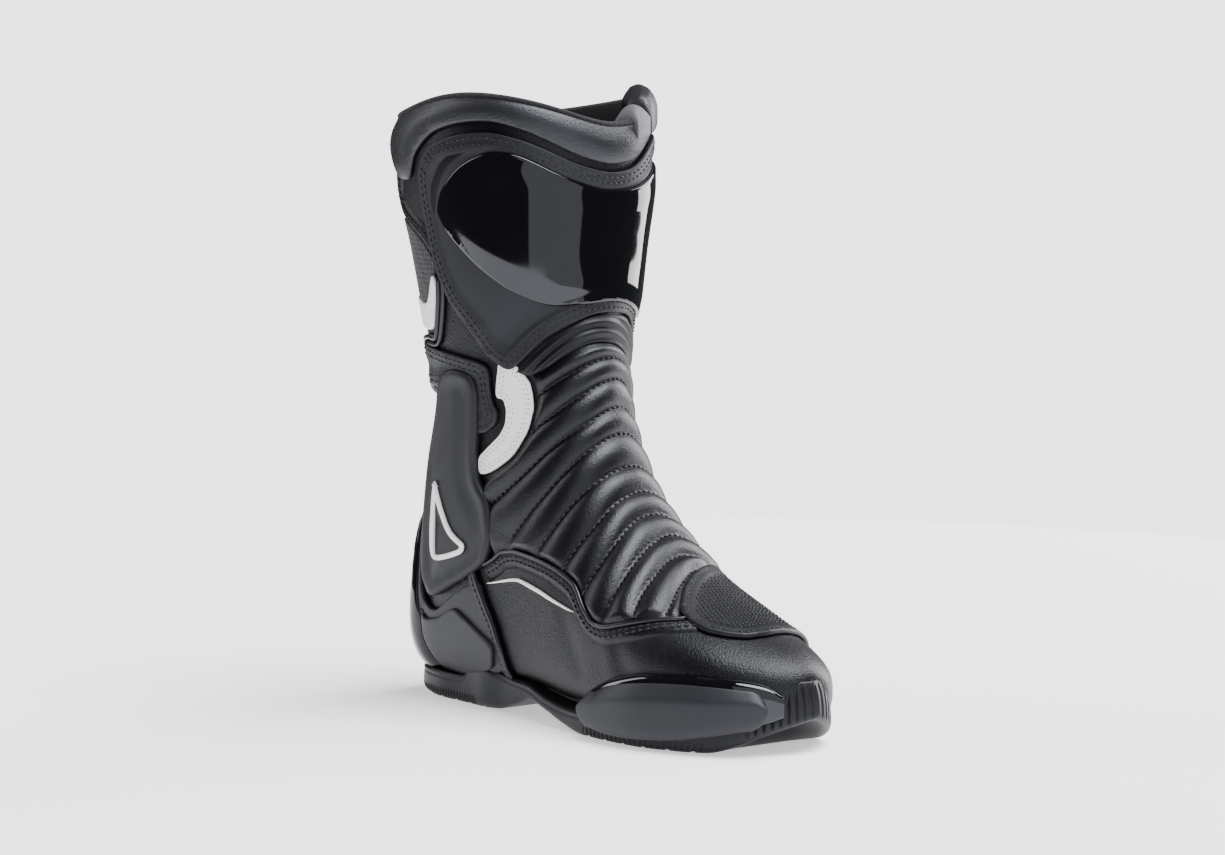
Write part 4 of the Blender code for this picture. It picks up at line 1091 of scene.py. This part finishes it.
def channel(girth: np.ndarray, row: Sequence[float]) -> np.ndarray:
    """The station of one stitched channel at each girth."""
    places = np.arange(len(QUILT_GIRTHS))
    return Last.along(np.array(row, float), np.interp(-girth, -np.array(QUILT_GIRTHS, float), places))


def quilting(girth: np.ndarray, station: np.ndarray, inside: np.ndarray) -> np.ndarray:
    """The quilted front swells between its stitched channels and dies out at its edges."""
    height, power, floor, edge = 0.0033, 0.62, 0.10, 0.005
    rows = np.array([channel(girth, row) for row in QUILT_ROWS])
    rows = np.concatenate([rows[:1] + 0.75, rows, rows[-1:] - 0.6])
    share = np.zeros(len(girth))
    for upper, lower in zip(rows, rows[1:]):
        here = (station <= upper) & (station >= lower)
        share = np.where(here, (station - lower) / (upper - lower), share)
    rise = np.clip(np.sin(np.pi * share) - floor, 0, 1) / (1 - floor)
    return height * rise**power * smoothstep(inside, 0.0, edge)


def flexing(girth: np.ndarray, station: np.ndarray, inside: np.ndarray) -> np.ndarray:
    """Three ridges for each station across under the shin."""
    lowest, ridges, edge = 10.03, 3, 0.004
    return FLEX_RIDGE * np.sin((station - lowest) * ridges * math.pi) ** 2 * smoothstep(inside, 0, edge)


def bordered(girth: np.ndarray, station: np.ndarray, inside: np.ndarray) -> np.ndarray:
    """A raised border with a channel under each of its two rows of stitches."""
    half, depth, step, border, field = 0.0006, 0.00035, 0.0007, 0.0074, 0.0090
    channels = sum(np.exp(-((inside - row) / half) ** 2) for row in BORDER_ROWS)
    return -depth * channels - step * smoothstep(inside, border, field)


def ridged(girth: np.ndarray, station: np.ndarray, inside: np.ndarray) -> np.ndarray:
    """Two rails along the border with a sewn channel between them."""
    half, rails = 0.0014, ((0.0008, 0.0017), (0.0007, 0.0056))
    return sum(height * hump(inside, middle, half) for height, middle in rails)


def plated(girth: np.ndarray, station: np.ndarray, inside: np.ndarray) -> np.ndarray:
    """The plate bulges a little, with a flat margin."""
    bulge, margin, sink = 0.0010, 0.012, 0.0002
    return bulge * smoothstep(inside, 0.0, margin) - sink


def padded_collar(girth: np.ndarray, station: np.ndarray, inside: np.ndarray) -> np.ndarray:
    """The collar pad swells between its seam and the rim."""
    edge = 0.011
    return (PAD - PANEL) * np.sqrt(smoothstep(inside, 0.0, edge))


def spoiled(girth: np.ndarray, station: np.ndarray, inside: np.ndarray) -> np.ndarray:
    """The heel cup is thickest at the back."""
    low, high, edge = 8.6, 12.4, 0.005
    share = np.clip((station - low) / (high - low), 0, 1)
    rear = np.cos(np.radians(girth - 180)) ** 2
    return (SPOILER - PANEL) * rear * np.sqrt(4 * share * (1 - share)) * smoothstep(inside, 0, edge)


def braced(girth: np.ndarray, station: np.ndarray, inside: np.ndarray) -> np.ndarray:
    """The brace has a raised rim and a shallow field."""
    swell, swell_ends, step, step_ends = 0.0006, (0.010, 0.018), 0.0009, (0.0045, 0.0065)
    return swell * smoothstep(inside, *swell_ends) - step * smoothstep(inside, *step_ends)


@dataclass
class Shaft:
    """Everything on the shaft over its leather."""

    collar_top: float = COLLAR - 0.03
    curl_ends: float = 5.0
    pinhole_rows: tuple[float, float] = (0.0020, 0.0038)
    back_strip: float = 0.0060
    back_rows: tuple[float, float] = (-0.0035, 0.0035)
    low_piping_step: float = 0.0036

    def build(self) -> None:
        """Builds the shaft's pieces from the inner to the outer ones."""
        self.collar()
        self.shin()
        self.calf()
        self.medial()

    def collar(self) -> None:
        """The padded collar with its seam, and the two ends of the closure over its rim."""
        start, end = COLLAR_EDGE[0][0], COLLAR_EDGE[-1][0]
        outline = [(start, self.collar_top), *COLLAR_EDGE]
        outline += [(girth, self.collar_top) for girth in range(end, start + 1, -15)]
        pad = Panel("collar_pad", outline, GAP, PANEL, COLLAR_LEATHER, ("collar_pad",), rounds=2,
                    relief=padded_collar).build()
        self._curl("closure_tab", -58, -24, 0.0100, COLLAR_LEATHER)
        self._curl("strap_end", -23, -13, 0.0085, STRAP)
        stitched("collar_stitches", [Seam(COLLAR_EDGE, (-0.0022,), 2 * GAP, creases=False, rounds=2)])

    def _curl(self, name: str, start: float, end: float, rise: float, finish: Finish) -> None:
        """A thick end of the closure, curled inwards over the rim between two girths."""
        girth = np.linspace(start, end, 34)
        share = np.clip(np.minimum(girth - start, end - girth) / self.curl_ends, 0, 1)
        swell = np.sqrt(1 - (1 - share) ** 2)
        collar = np.full_like(girth, COLLAR)
        rings = [LAST.raised(girth, collar, outwards, np.where(up > 0, up * rise * swell, up))
                 for outwards, up in cornered(CURL_PROFILE, 2, True)]
        dressed(grid_mesh(np.array([*rings, rings[0]])), name, finish)

    def shin(self) -> None:
        """The frame, its gloss plate, the painted shade of its crescent recess, and the ridges under them.
        """
        Panel("shin_frame", FRAME_OUTLINE, GAP, MOULDED, MATT, ("shin_frame",), relief=bordered,
              cell=0.0022).build()
        Panel("shin_plate", PLATE_OUTLINE, 2 * GAP + MOULDED - 0.0007, PLATE, GLOSS, ("shin_plate",),
              edge=0.0012, relief=plated, cell=0.0018).build()
        Panel("flex_panel", FLEX_OUTLINE, GAP, PANEL, RUBBER, ("flex_panel",), relief=flexing, cell=0.0018,
              rounds=2).build()
        # Painted shade: a thin near-black sheet on the frame's field where its crescent recess lies in
        # shade
        Panel("frame_crescent_shade", CRESCENT_OUTLINE, 0.0016, 0.0009, DARK_AND_PAINTED_SHADE, edge=0.0002, cell=0.0015).build()
        stitched("frame_stitches", [Seam(FRAME_OUTLINE, BORDER_ROWS, GAP + MOULDED, closed=True)])

    def calf(self) -> None:
        """The guard, the mesh and the trims at the side and the rear."""
        Panel("mesh_insert", MESH_OUTLINE, LET_IN, 0.0010, KNIT).build()
        Panel("calf_guard", GUARD_OUTLINE, GAP, MOULDED, GREY_MATT, ("calf_guard",),
              relief=bordered).build()
        Panel("front_trim", FRONT_TRIM_OUTLINE, GAP, PANEL, WHITE, ("front_trim",), cell=0.002,
              rounds=2).build()
        # The pinholes are near-black dots: the dark leather under the holes, with painted shade in them
        stitched("pinholes", [Seam(FRONT_TRIM_OUTLINE, self.pinhole_rows, GAP + PANEL, closed=True,
                                   rounds=2, pitch=0.0026, length=0.0008, thread=0.0003)], DARK_AND_PAINTED_SHADE)
        Panel("rear_trim", REAR_TRIM_OUTLINE, GAP, PANEL, WHITE, ("rear_trim",), cell=0.002,
              rounds=2).build()
        Sweep("rear_piping", PIPING_V, round_profile(0.0015, 0.0014), PIPING).build()
        low_piping = [(across - self.low_piping_step, up) for across, up in round_profile(0.0014, 0.0010)]
        Sweep("rear_piping_low", PIPING_V, low_piping, PIPING).build()
        Sweep("rear_band", REAR_BAND, flat_profile(-0.0040, 0.0045, -GAP, 0.0018), SILVER).build()
        Panel("medial_trim", MEDIAL_TRIM, GAP, PANEL, SILVER, cell=0.002, rounds=2).build()
        Sweep("rear_lap", REAR_DIAGONAL, lapped_profile(0.0085, LAP), GRAINED).build()
        stitched("guard_stitches", [Seam(GUARD_OUTLINE, BORDER_ROWS, GAP + MOULDED, closed=True)])
        strip = flat_profile(-self.back_strip, self.back_strip, -GAP, 0.0015)
        for index, line in enumerate(BACK_SEAMS):
            Sweep(f"back_strip_{index}", line, strip, GRAINED, rounds=0).build()
        back = [Seam(line, self.back_rows, 0.0012, rounds=0) for line in BACK_SEAMS]
        stitched("rear_stitches", [Seam(REAR_DIAGONAL, LAP_ROWS, ON_LAP), *back])

    def medial(self) -> None:
        """The closure flap, the striped insert and the seams of the medial side."""
        Panel("closure_flap", FLAP_OUTLINE, GAP, PANEL, GRAINED, ("closure_flap",)).build()
        stitched("flap_stitches", [Seam(FLAP_OUTLINE, (0.0025, 0.0052), GAP + PANEL, closed=True)])
        Panel("medial_insert", INSERT_OUTLINE, LET_IN, 0.0011, SILVER, cell=0.002, rounds=2).build()
        for index, (girth, high, low) in enumerate(INSERT_LINES):
            Sweep(f"insert_line_{index}", ((girth, high), (girth, low)),
                  flat_profile(-0.0003, 0.0003, 0.0008, 0.0007), DARK_AND_PAINTED_SHADE, rounds=0).build()
        Sweep("quarter_lap", QUARTER_EDGE, lapped_profile(0.010, LAP, -1), GRAINED).build()
        stitched("insert_stitches", [Seam(INSERT_OUTLINE, (-0.0020,), ON_LEATHER, closed=True),
                                     Seam(QUARTER_EDGE, (-LAP_ROWS[0], -LAP_ROWS[1]), ON_LAP)])


@dataclass
class Foot:
    """Everything on the foot over its leather."""

    dot_pitch: float = 0.0024
    dot_rows: float = 0.082
    dot_size: tuple[float, float, float] = (0.00085, 0.00085, 0.00055)
    dot_margin: float = 0.0078
    dot_stations: tuple[float, float] = (3.0, 5.6)
    dot_girths: tuple[float, float] = (44.0, -118.0)

    def build(self) -> None:
        """Builds the foot's pieces."""
        self.front()
        self.side()
        self.heel()
        self.toe()

    def front(self) -> None:
        """The quilted front with its piping and lapped edges."""
        quilt = Panel("quilted_front", QUILT_OUTLINE, 0.0001, 0.0008, SMOOTH_LEATHER, relief=quilting,
                      cell=0.0012, rounds=2, creases=False).build()
        girths = np.arange(QUILT_GIRTHS[0], QUILT_GIRTHS[-1] - 1, -2)
        rows = [tuple(zip(girths, channel(girths, row))) for row in QUILT_ROWS]
        stitched("quilt_stitches", [
            Seam(row, (0.0,), 0.0016, region=QUILT_OUTLINE, creases=False, rounds=0, pitch=0.0036,
                 length=0.0027, thread=0.00062) for row in rows])
        Sweep("vamp_lap", VAMP_EDGE, lapped_profile(0.0090, 0.0015, -1), GRAINED).build()
        piped = (*VAMP_EDGE[:-1], (41.5, 3.86))
        Sweep("vamp_piping", piped, round_profile(0.0011, 0.0019), PIPING).build()
        Sweep("medial_piping", MEDIAL_PIPING, round_profile(0.0013, 0.0014), PIPING).build()
        stitched("vamp_stitches", [Seam(VAMP_EDGE, (-0.0026, -0.0049), ON_LAP, pitch=0.0038, length=0.0029,
                                        thread=0.00058)])
        stitched("medial_stitches", [Seam(MEDIAL_SEAM, (0.0, 0.0028), ON_LEATHER)])

    def side(self) -> None:
        """The ankle's brace with its ring, and the bent line under it."""
        Panel("ankle_brace", BRACE_OUTLINE, GAP, BRACE, MATT, ("ankle_brace",), edge=0.0018,
              relief=braced).build()
        base = 2 * GAP + BRACE
        Panel("inlay_field", INLAY_OUTLINE, base - 0.0012, 0.0012, MATT, cell=0.0015).build()
        ring = flat_profile(-0.0030, -0.0002, base - 0.0010, PANEL + 0.0006)
        Sweep("brace_inlay", INLAY_OUTLINE, ring, WHITE, closed=True, spacing=0.0012, creases=False,
              nodes=("brace_inlay",)).build()
        Sweep("accent_line", ACCENT_LINE, round_profile(0.0011, 0.0006), WHITE, taper=0.75).build()

    def heel(self) -> None:
        """The counter, the gloss back of its cup, the cup's grey sides, and the painted shade of the slots
        beside them.
        """
        Panel("heel_counter", COUNTER_OUTLINE, GAP, MOULDED, GREY_MATT, ("heel_counter",)).build()
        Panel("heel_spoiler", SPOILER_OUTLINE, GAP + MOULDED, PANEL, GLOSS, ("heel_spoiler",),
              relief=spoiled, edge=0.0010).build()
        base = MOULDED
        for side, sign, start in (("lateral", 1, 0), ("medial", -1, 360)):
            cup = [(start + sign * girth, station) for girth, station in CUP_SIDE_OUTLINE]
            slot = [(start + sign * girth, station) for girth, station in SLOT_OUTLINE]
            Panel(f"heel_cup_{side}", cup, base, PANEL + 0.0008, GREY_MATT, ("heel_spoiler",), edge=0.0009,
                  rounds=2).build()
            # Painted shade: a thin near-black sheet in each slot between the cup's side and the spoiler
            Panel(f"heel_slot_shade_{side}", slot, base, 0.0008, DARK_AND_PAINTED_SHADE, edge=0.0002).build()
        Sweep("heel_strip", HEEL_PIPING, flat_profile(-0.0052, 0.0, 0.0, 0.0030), MATT).build()
        Sweep("heel_piping", HEEL_PIPING, round_profile(0.0013, 0.0022), PIPING).build()
        stitched("heel_stitches", [Seam(HEEL_PIPING, (-0.0028,), 0.0030)])

    def toe(self) -> None:
        """The shift patch, with its ridged border and fine raised dots."""
        base = 1.5 * GAP
        Panel("shift_patch", PATCH_OUTLINE, base, PANEL, RUBBER, ("shift_patch",), relief=ridged,
              cell=0.0020).build()
        stitched("patch_stitches", [Seam(PATCH_OUTLINE, (0.0036,), base + PANEL + 0.0001, closed=True)])
        self._dots(base + PANEL)

    def _dots(self, height: float) -> None:
        """Dots in staggered rows over the patch's field."""
        border = LAST.drawn(PATCH_OUTLINE, 2, 0.002, True)
        field = LAST.moved(border, self.dot_margin * inside_of(border), True)
        mesh = bmesh.new()
        for row, station in enumerate(np.arange(*self.dot_stations, self.dot_rows)):
            ends = np.array([(girth, station) for girth in self.dot_girths])
            line = LAST.resampled(ends, self.dot_pitch, False)
            line = (line + np.roll(line, -1, axis=0))[:-1] / 2 if row % 2 else line
            line = line[enclosed(line, field)]
            normals = LAST.slopes(line[:, 0], line[:, 1])[2]
            for place, normal in zip(LAST.skin(line[:, 0], line[:, 1], height), normals):
                turn = Vector(normal).to_track_quat("Z", "Y").to_matrix().to_4x4()
                matrix = Matrix.Translation(Vector(place)) @ turn @ Matrix.Diagonal((*self.dot_size, 1))
                bmesh.ops.create_icosphere(mesh, subdivisions=1, radius=1.0, matrix=matrix)
        dressed(mesh, "patch_dots", RUBBER)


@dataclass
class Sole:
    """The outsole and the footbed."""

    samples: int = 900
    tread: tuple[float, ...] = (0.0215, 0.0205, 0.0165, 0.0125, 0.0085, 0.005)
    lug_pitch: float = 0.013
    lug_depth: float = 0.002
    lug_slant: float = 0.21
    lug_edge: float = 0.045
    # Half width and softness of the grooves between lugs, and their extents as shares of FOOT_LENGTH
    lug_groove: tuple[float, float] = (0.0021, 0.0008)
    lug_fields: tuple[tuple[float, float], ...] = ((0.49, 0.74), (-0.06, 0.13))
    wing: float = 0.0042
    lean: float = 0.0012
    # The groove's depth, its distance under the rim and its half width
    groove: tuple[float, float, float] = (0.0005, 0.0030, 0.0005)
    groove_end: float = 0.215
    # How far the heel's block stands out, its middle along x and its half width
    block: tuple[float, float, float] = (0.0018, 0.040, 0.013)
    bed_rise: float = 0.0034
    bed_ends: tuple[float, float] = (-0.034, 0.232)
    spine_ends: tuple[float, float] = (0.11, 0.13)

    def __post_init__(self) -> None:
        """Reads the sole's columns evenly along its side."""
        sizes = (FOOT_LENGTH, BALL_WIDTH, BALL_WIDTH, EDGE_HEIGHT, ARCH_HEIGHT, TREAD_EDGE)
        rows = (np.array(SOLE_ROWS) * sizes).T
        places = np.linspace(0, len(SOLE_ROWS) - 1, 6000)
        x, lateral = (Last.along(column, places) for column in rows[:2])
        length = np.concatenate([[0], np.cumsum(np.hypot(np.diff(x), np.diff(lateral)))])
        even = np.interp(np.linspace(0, length[-1], self.samples), length, places)
        self.rows = dict(zip(SOLE_NAMES, (Last.along(column, even) for column in rows)))
        self.rows["lift"] = np.maximum(self.rows["lift"], 0.0)

    def ring(self, inset: np.ndarray | float, height: np.ndarray | float,
             bottom: bool = False) -> tuple[np.ndarray, np.ndarray]:
        """The two sides at a distance in from the outline and at a height.

        Args:
            inset: metres in from the outline.
            height: metres above the floor.
            bottom: whether the ring lies in the tread.
        Returns:
            The lateral and the medial side's points.
        """
        x = self.rows["x"]
        centre = (self.rows["medial"] - self.rows["lateral"]) / 2
        rear, front = (share * FOOT_LENGTH for share in self.spine_ends)
        spine_x = np.clip(x, x[0] + rear, x[-1] - front)
        spine = np.stack([spine_x, np.interp(spine_x, x, centre)], 1)
        height = np.broadcast_to(height, len(x))
        sides = []
        for side, name in ((-1.0, "lateral"), (1.0, "medial")):
            plan = np.stack([x, side * self.rows[name]], 1)
            inwards = spine - plan
            inwards /= np.linalg.norm(inwards, axis=1, keepdims=True)
            length = np.concatenate([[0], np.cumsum(np.linalg.norm(np.diff(plan, axis=0), axis=1))])
            depth = inset if bottom else inset + self._carved(side, length, height)
            plan = plan + inwards * np.broadcast_to(depth, len(x))[:, None]
            sides.append(np.column_stack([plan, height + (self._lugs(side, plan) if bottom else 0)]))
        return sides[0], sides[1]

    def _lugs(self, side: float, plan: np.ndarray) -> np.ndarray:
        """How far the underside is raised in the slanted grooves between the lugs."""
        across = plan[:, 0] - side * self.lug_slant * (plan[:, 1] - side * self.lug_edge)
        half, soft = self.lug_groove
        raised = np.zeros(len(plan))
        for start, end in self.lug_fields:
            count = int((end - start) * FOOT_LENGTH / self.lug_pitch)
            for middle in FOOT_LENGTH * (start + (end - start) * np.arange(count + 1) / count):
                groove = smoothstep(half - np.abs(across - middle), 0.0, soft)
                raised = np.maximum(raised, self.lug_depth * groove)
        return raised

    def _carved(self, side: float, length: np.ndarray, height: np.ndarray) -> np.ndarray:
        """How deep the side's ribs and groove are cut, less where the heel's block stands out."""
        x, rim, lift = (self.rows[name] for name in ("x", "rim", "lift"))
        above, tall = height - lift, rim - lift
        start = BUMPER_START[int(side > 0)]
        arch = 0.0004 if side > 0 else 0.0
        # Pitch, sharpness, depth and extent of each field of ribs
        fields = (
            (0.0026, 1.5, 0.0006, between(x, -0.042, 0.032, 0.004) * between(above, -0.01, 0.0062, 0.0014)),
            (0.0034, 2.0, 0.0008, between(x, 0.135, 0.220, 0.006) * between(above, -0.01, 0.0060, 0.0014)),
            (0.0030, 1.5, arch,
             between(x, 0.045, 0.120, 0.004) * between(above, 0.001, tall - 0.004, 0.001)),
            (0.0042, 5.0, 0.0013,
             smoothstep(x, start, start + 0.005) * between(above, 0.002, tall - 0.0035, 0.002)),
        )
        ribs = sum(depth * extent * (0.5 + 0.5 * np.cos(2 * math.pi * length / pitch)) ** sharpness
                   for pitch, sharpness, depth, extent in fields)
        depth, below, half = self.groove
        groove = depth * np.exp(-((height - rim + below) / half) ** 2) * (x < self.groove_end)
        out, middle, half = self.block
        block = out * np.exp(-((x - middle) / half) ** 2)
        block *= smoothstep(above, 0.0, 0.006) * smoothstep(rim - height, 0, 0.004)
        return ribs + groove - block

    def build(self) -> None:
        """Lofts the sole round its section, from the middle of the tread up its side to the bed."""
        lift, rim, edge = (self.rows[name] for name in ("lift", "rim", "edge"))
        lean = self.lean + 0.08 * np.maximum(rim - EDGE_HEIGHT, 0)
        tall = smoothstep(rim, 0.020, 0.036) * smoothstep(self.rows["x"], 0.205, 0.225)
        side = rim - lift - edge
        under = [(inset, lift) for inset in self.tread] + [(edge, lift), (0.6 * edge, lift + 0.08 * edge)]
        levels = [(across * edge, lift + up * edge) for across, up in ((0.3, 0.3), (0.08, 0.6), (0.0, 1.0))]
        levels += [(0.3 * share * lean + self.wing * tall * share**3, lift + edge + side * share)
                   for share in np.linspace(0.06, 0.88, 16)]
        levels += [(across * lean + (self.wing + out) * tall, rim - down * lean)
                   for across, out, down in RIM_PROFILE]
        levels += [(0.006 + 0.003 * tall, rim),
                   (0.020, np.maximum(self._bed() + 0.5 * BED_HEIGHT, rim))]
        pairs = [self.ring(inset, height, True) for inset, height in under]
        pairs += [self.ring(inset, height) for inset, height in levels]
        rows = [lateral for lateral, _ in pairs] + [medial for _, medial in reversed(pairs)]
        rows += [pairs[0][1] * (1 - share) + pairs[0][0] * share for share in (0.25, 0.5, 0.75)]
        dressed(grid_mesh(np.array([*rows, rows[0]])), "outsole", RUBBER, "outsole")

    def _bed(self) -> np.ndarray:
        """The height of the upper's underside along the foot."""
        return np.interp(self.rows["x"], LAST.columns["back_x"][10:0:-1], LAST.columns["back_z"][10:0:-1])

    def insole(self) -> None:
        """The footbed inside the upper, with a soft rounded edge."""
        bed = self._bed() + self.bed_rise
        rear, front = self.bed_ends
        keep = (self.rows["x"] > rear) & (self.rows["x"] < front)
        pairs = [self.ring(inset, bed + up) for inset, up in INSOLE_PROFILE]
        rows = [lateral[keep] for lateral, _ in pairs] + [medial[keep] for _, medial in reversed(pairs)]
        dressed(grid_mesh(np.array([*rows, rows[0]])), "insole", LINING, "insole")


@dataclass
class Slider:
    """The toe's wear part: a gloss carrier and its matt face."""

    root: float = -0.012
    out: float = 0.0024
    face: float = 0.0038
    below: float = 0.0012
    above: float = 0.0042
    # Rows of the table between which the face lies, and between which its edges are read
    face_rows: tuple[float, float] = (0.45, 8.0)
    edge_rows: tuple[float, float] = (2.0, 7.2)
    rear_end: float = 0.0085
    front_end: float = 0.0060

    def build(self, sole: Sole) -> None:
        """Builds the carrier and the face along the sole's side."""
        last = len(SLIDER_ROWS) - 1.0
        x, low, high = self._edges(0.0, last, 0.0, last)
        self._bar("toe_slider_base", GLOSS, sole, (x, low, high), (self.root, self.out), CARRIER_PROFILE)
        x, low, high = self._edges(*self.face_rows, *self.edge_rows)
        low, high = low + self.below, high - self.above
        ends = np.clip(np.minimum((x - x[0]) / self.rear_end, (x[-1] - x) / self.front_end), 0.002, 1)
        swell = np.sqrt(1 - (1 - ends) ** 2)
        middle = (low + high) / 2
        low, high = middle - (middle - low) * swell, middle + (high - middle) * swell
        reach = (self.out - GAP, self.out + GAP + self.face)
        self._bar("toe_slider", GREY_MATT, sole, (x, low, high), reach, WORN_PROFILE)

    @staticmethod
    def _edges(first: float, last: float, lowest: float, highest: float) -> tuple[np.ndarray, ...]:
        """The table's x between two rows, and the lower and upper edge there.

        Args:
            first: the row of the rear end.
            last: the row of the front end.
            lowest: the first row that the edges are read from.
            highest: the last row that the edges are read from.
        Returns:
            The places along x, and the heights of the lower and the upper edge.
        """
        table = np.array(SLIDER_ROWS).T * ((FOOT_LENGTH,), (SLIDER_HEIGHT,), (SLIDER_HEIGHT,))
        places = first + (last - first) * (1 - np.cos(np.linspace(0, math.pi, 70))) / 2
        held = np.clip(places, lowest, highest)
        return Last.along(table[0], places), Last.along(table[1], held), Last.along(table[2], held)

    @staticmethod
    def _bar(name: str, finish: Finish, sole: Sole, edges: tuple[np.ndarray, ...],
             reach: tuple[float, float], profile: Path) -> None:
        """Draws a profile between the two edges, out from the sole's side."""
        x, low, high = edges
        y = np.interp(x, sole.rows["x"], -sole.rows["lateral"])
        heading = np.stack([np.gradient(x), np.gradient(y)], 1)
        heading /= np.linalg.norm(heading, axis=1, keepdims=True)
        rings = []
        for share, up in cornered(profile, 2, True):
            out = reach[0] + (reach[1] - reach[0]) * share
            rings.append(np.column_stack([x + heading[:, 1] * out, y - heading[:, 0] * out,
                                          low + (high - low) * up]))
        dressed(grid_mesh(np.array([*rings, rings[0]])), name, finish, name)


@dataclass
class Studio:
    """The camera, the floor and the light."""

    azimuth: float = 51.0
    elevation: float = 5.2
    distance: float = 1.95
    lens: float = 111.6
    target: tuple[float, float, float] = (0.100, 0.0, 0.150)
    floor_radius: float = 0.85
    floor_glow: float = 0.70
    surround: float = 0.10
    backdrop: float = 3.1
    overhead: float = 7.0
    overhead_width: float = 42.0
    overhead_from: tuple[float, float, float] = (0.30, 0.22, 1.0)

    def build(self) -> None:
        """Sets up the view of the photograph and a soft pale studio."""
        self._camera()
        self._floor()
        self._world()
        sun = self._light("overhead", "SUN", self.overhead, Vector(self.overhead_from))
        sun.angle = math.radians(self.overhead_width)
        for name, place, size, power in SOFTBOXES:
            box = self._light(name, "AREA", power, Vector(place) - Vector(self.target), place)
            box.shape = "RECTANGLE"
            box.size, box.size_y = size

    def _camera(self) -> None:
        """The camera's place and lens."""
        azimuth, elevation = math.radians(self.azimuth), math.radians(self.elevation)
        back = Vector((math.sin(azimuth) * math.cos(elevation), -math.cos(azimuth) * math.cos(elevation),
                       math.sin(elevation)))
        data = bpy.data.cameras.new("camera")
        data.lens = self.lens
        camera = placed("camera", data)
        camera.location = Vector(self.target) + back * self.distance
        camera.rotation_euler = back.to_track_quat("Z", "Y").to_euler()
        bpy.context.scene.camera = camera

    def _floor(self) -> None:
        """A wide pale floor."""
        mesh = bmesh.new()
        bmesh.ops.create_circle(mesh, cap_ends=True, segments=64, radius=self.floor_radius)
        data = bpy.data.meshes.new("floor")
        mesh.to_mesh(data)
        mesh.free()
        graph = Graph("pale_floor")
        graph.set("Base Color", (0.90, 0.90, 0.90, 1.0))
        graph.set("Roughness", 0.7)
        graph.set("Specular IOR Level", 0.2)
        graph.set("Emission Color", (1.0, 1.0, 1.0, 1.0))
        graph.set("Emission Strength", self.floor_glow)
        data.materials.append(graph.material)
        placed("floor", data)

    def _world(self) -> None:
        """A dim surround that lights the boot, and a white backdrop that only the camera sees."""
        world = bpy.data.worlds.new("surround")
        world.use_nodes = True
        tree = world.node_tree
        surround = tree.nodes["Background"]
        surround.inputs["Color"].default_value = (0.92, 0.96, 1.0, 1.0)
        surround.inputs["Strength"].default_value = self.surround
        backdrop = tree.nodes.new("ShaderNodeBackground")
        backdrop.inputs["Color"].default_value = (1.0, 1.0, 1.0, 1.0)
        backdrop.inputs["Strength"].default_value = self.backdrop
        path = tree.nodes.new("ShaderNodeLightPath")
        mix = tree.nodes.new("ShaderNodeMixShader")
        tree.links.new(path.outputs["Is Camera Ray"], mix.inputs["Fac"])
        tree.links.new(surround.outputs["Background"], mix.inputs[1])
        tree.links.new(backdrop.outputs["Background"], mix.inputs[2])
        tree.links.new(mix.outputs["Shader"], tree.nodes["World Output"].inputs["Surface"])
        bpy.context.scene.world = world

    @staticmethod
    def _light(name: str, kind: str, power: float, back: Vector,
               place: tuple[float, float, float] = (0.0, 0.0, 0.0)) -> bpy.types.Light:
        """One light, turned to shine against a direction."""
        data = bpy.data.lights.new(name, kind)
        data.energy = power
        light = placed(name, data)
        light.location = place
        light.rotation_euler = back.to_track_quat("Z", "Y").to_euler()
        return data


def main() -> None:
    """Builds the boot and its studio."""
    logging.basicConfig(level=logging.INFO, format="%(name)s %(message)s")
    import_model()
    Shell().build()
    Shaft().build()
    Foot().build()
    sole = Sole()
    sole.build()
    sole.insole()
    Slider().build(sole)
    Studio().build()


if __name__ == "__main__":
    main()
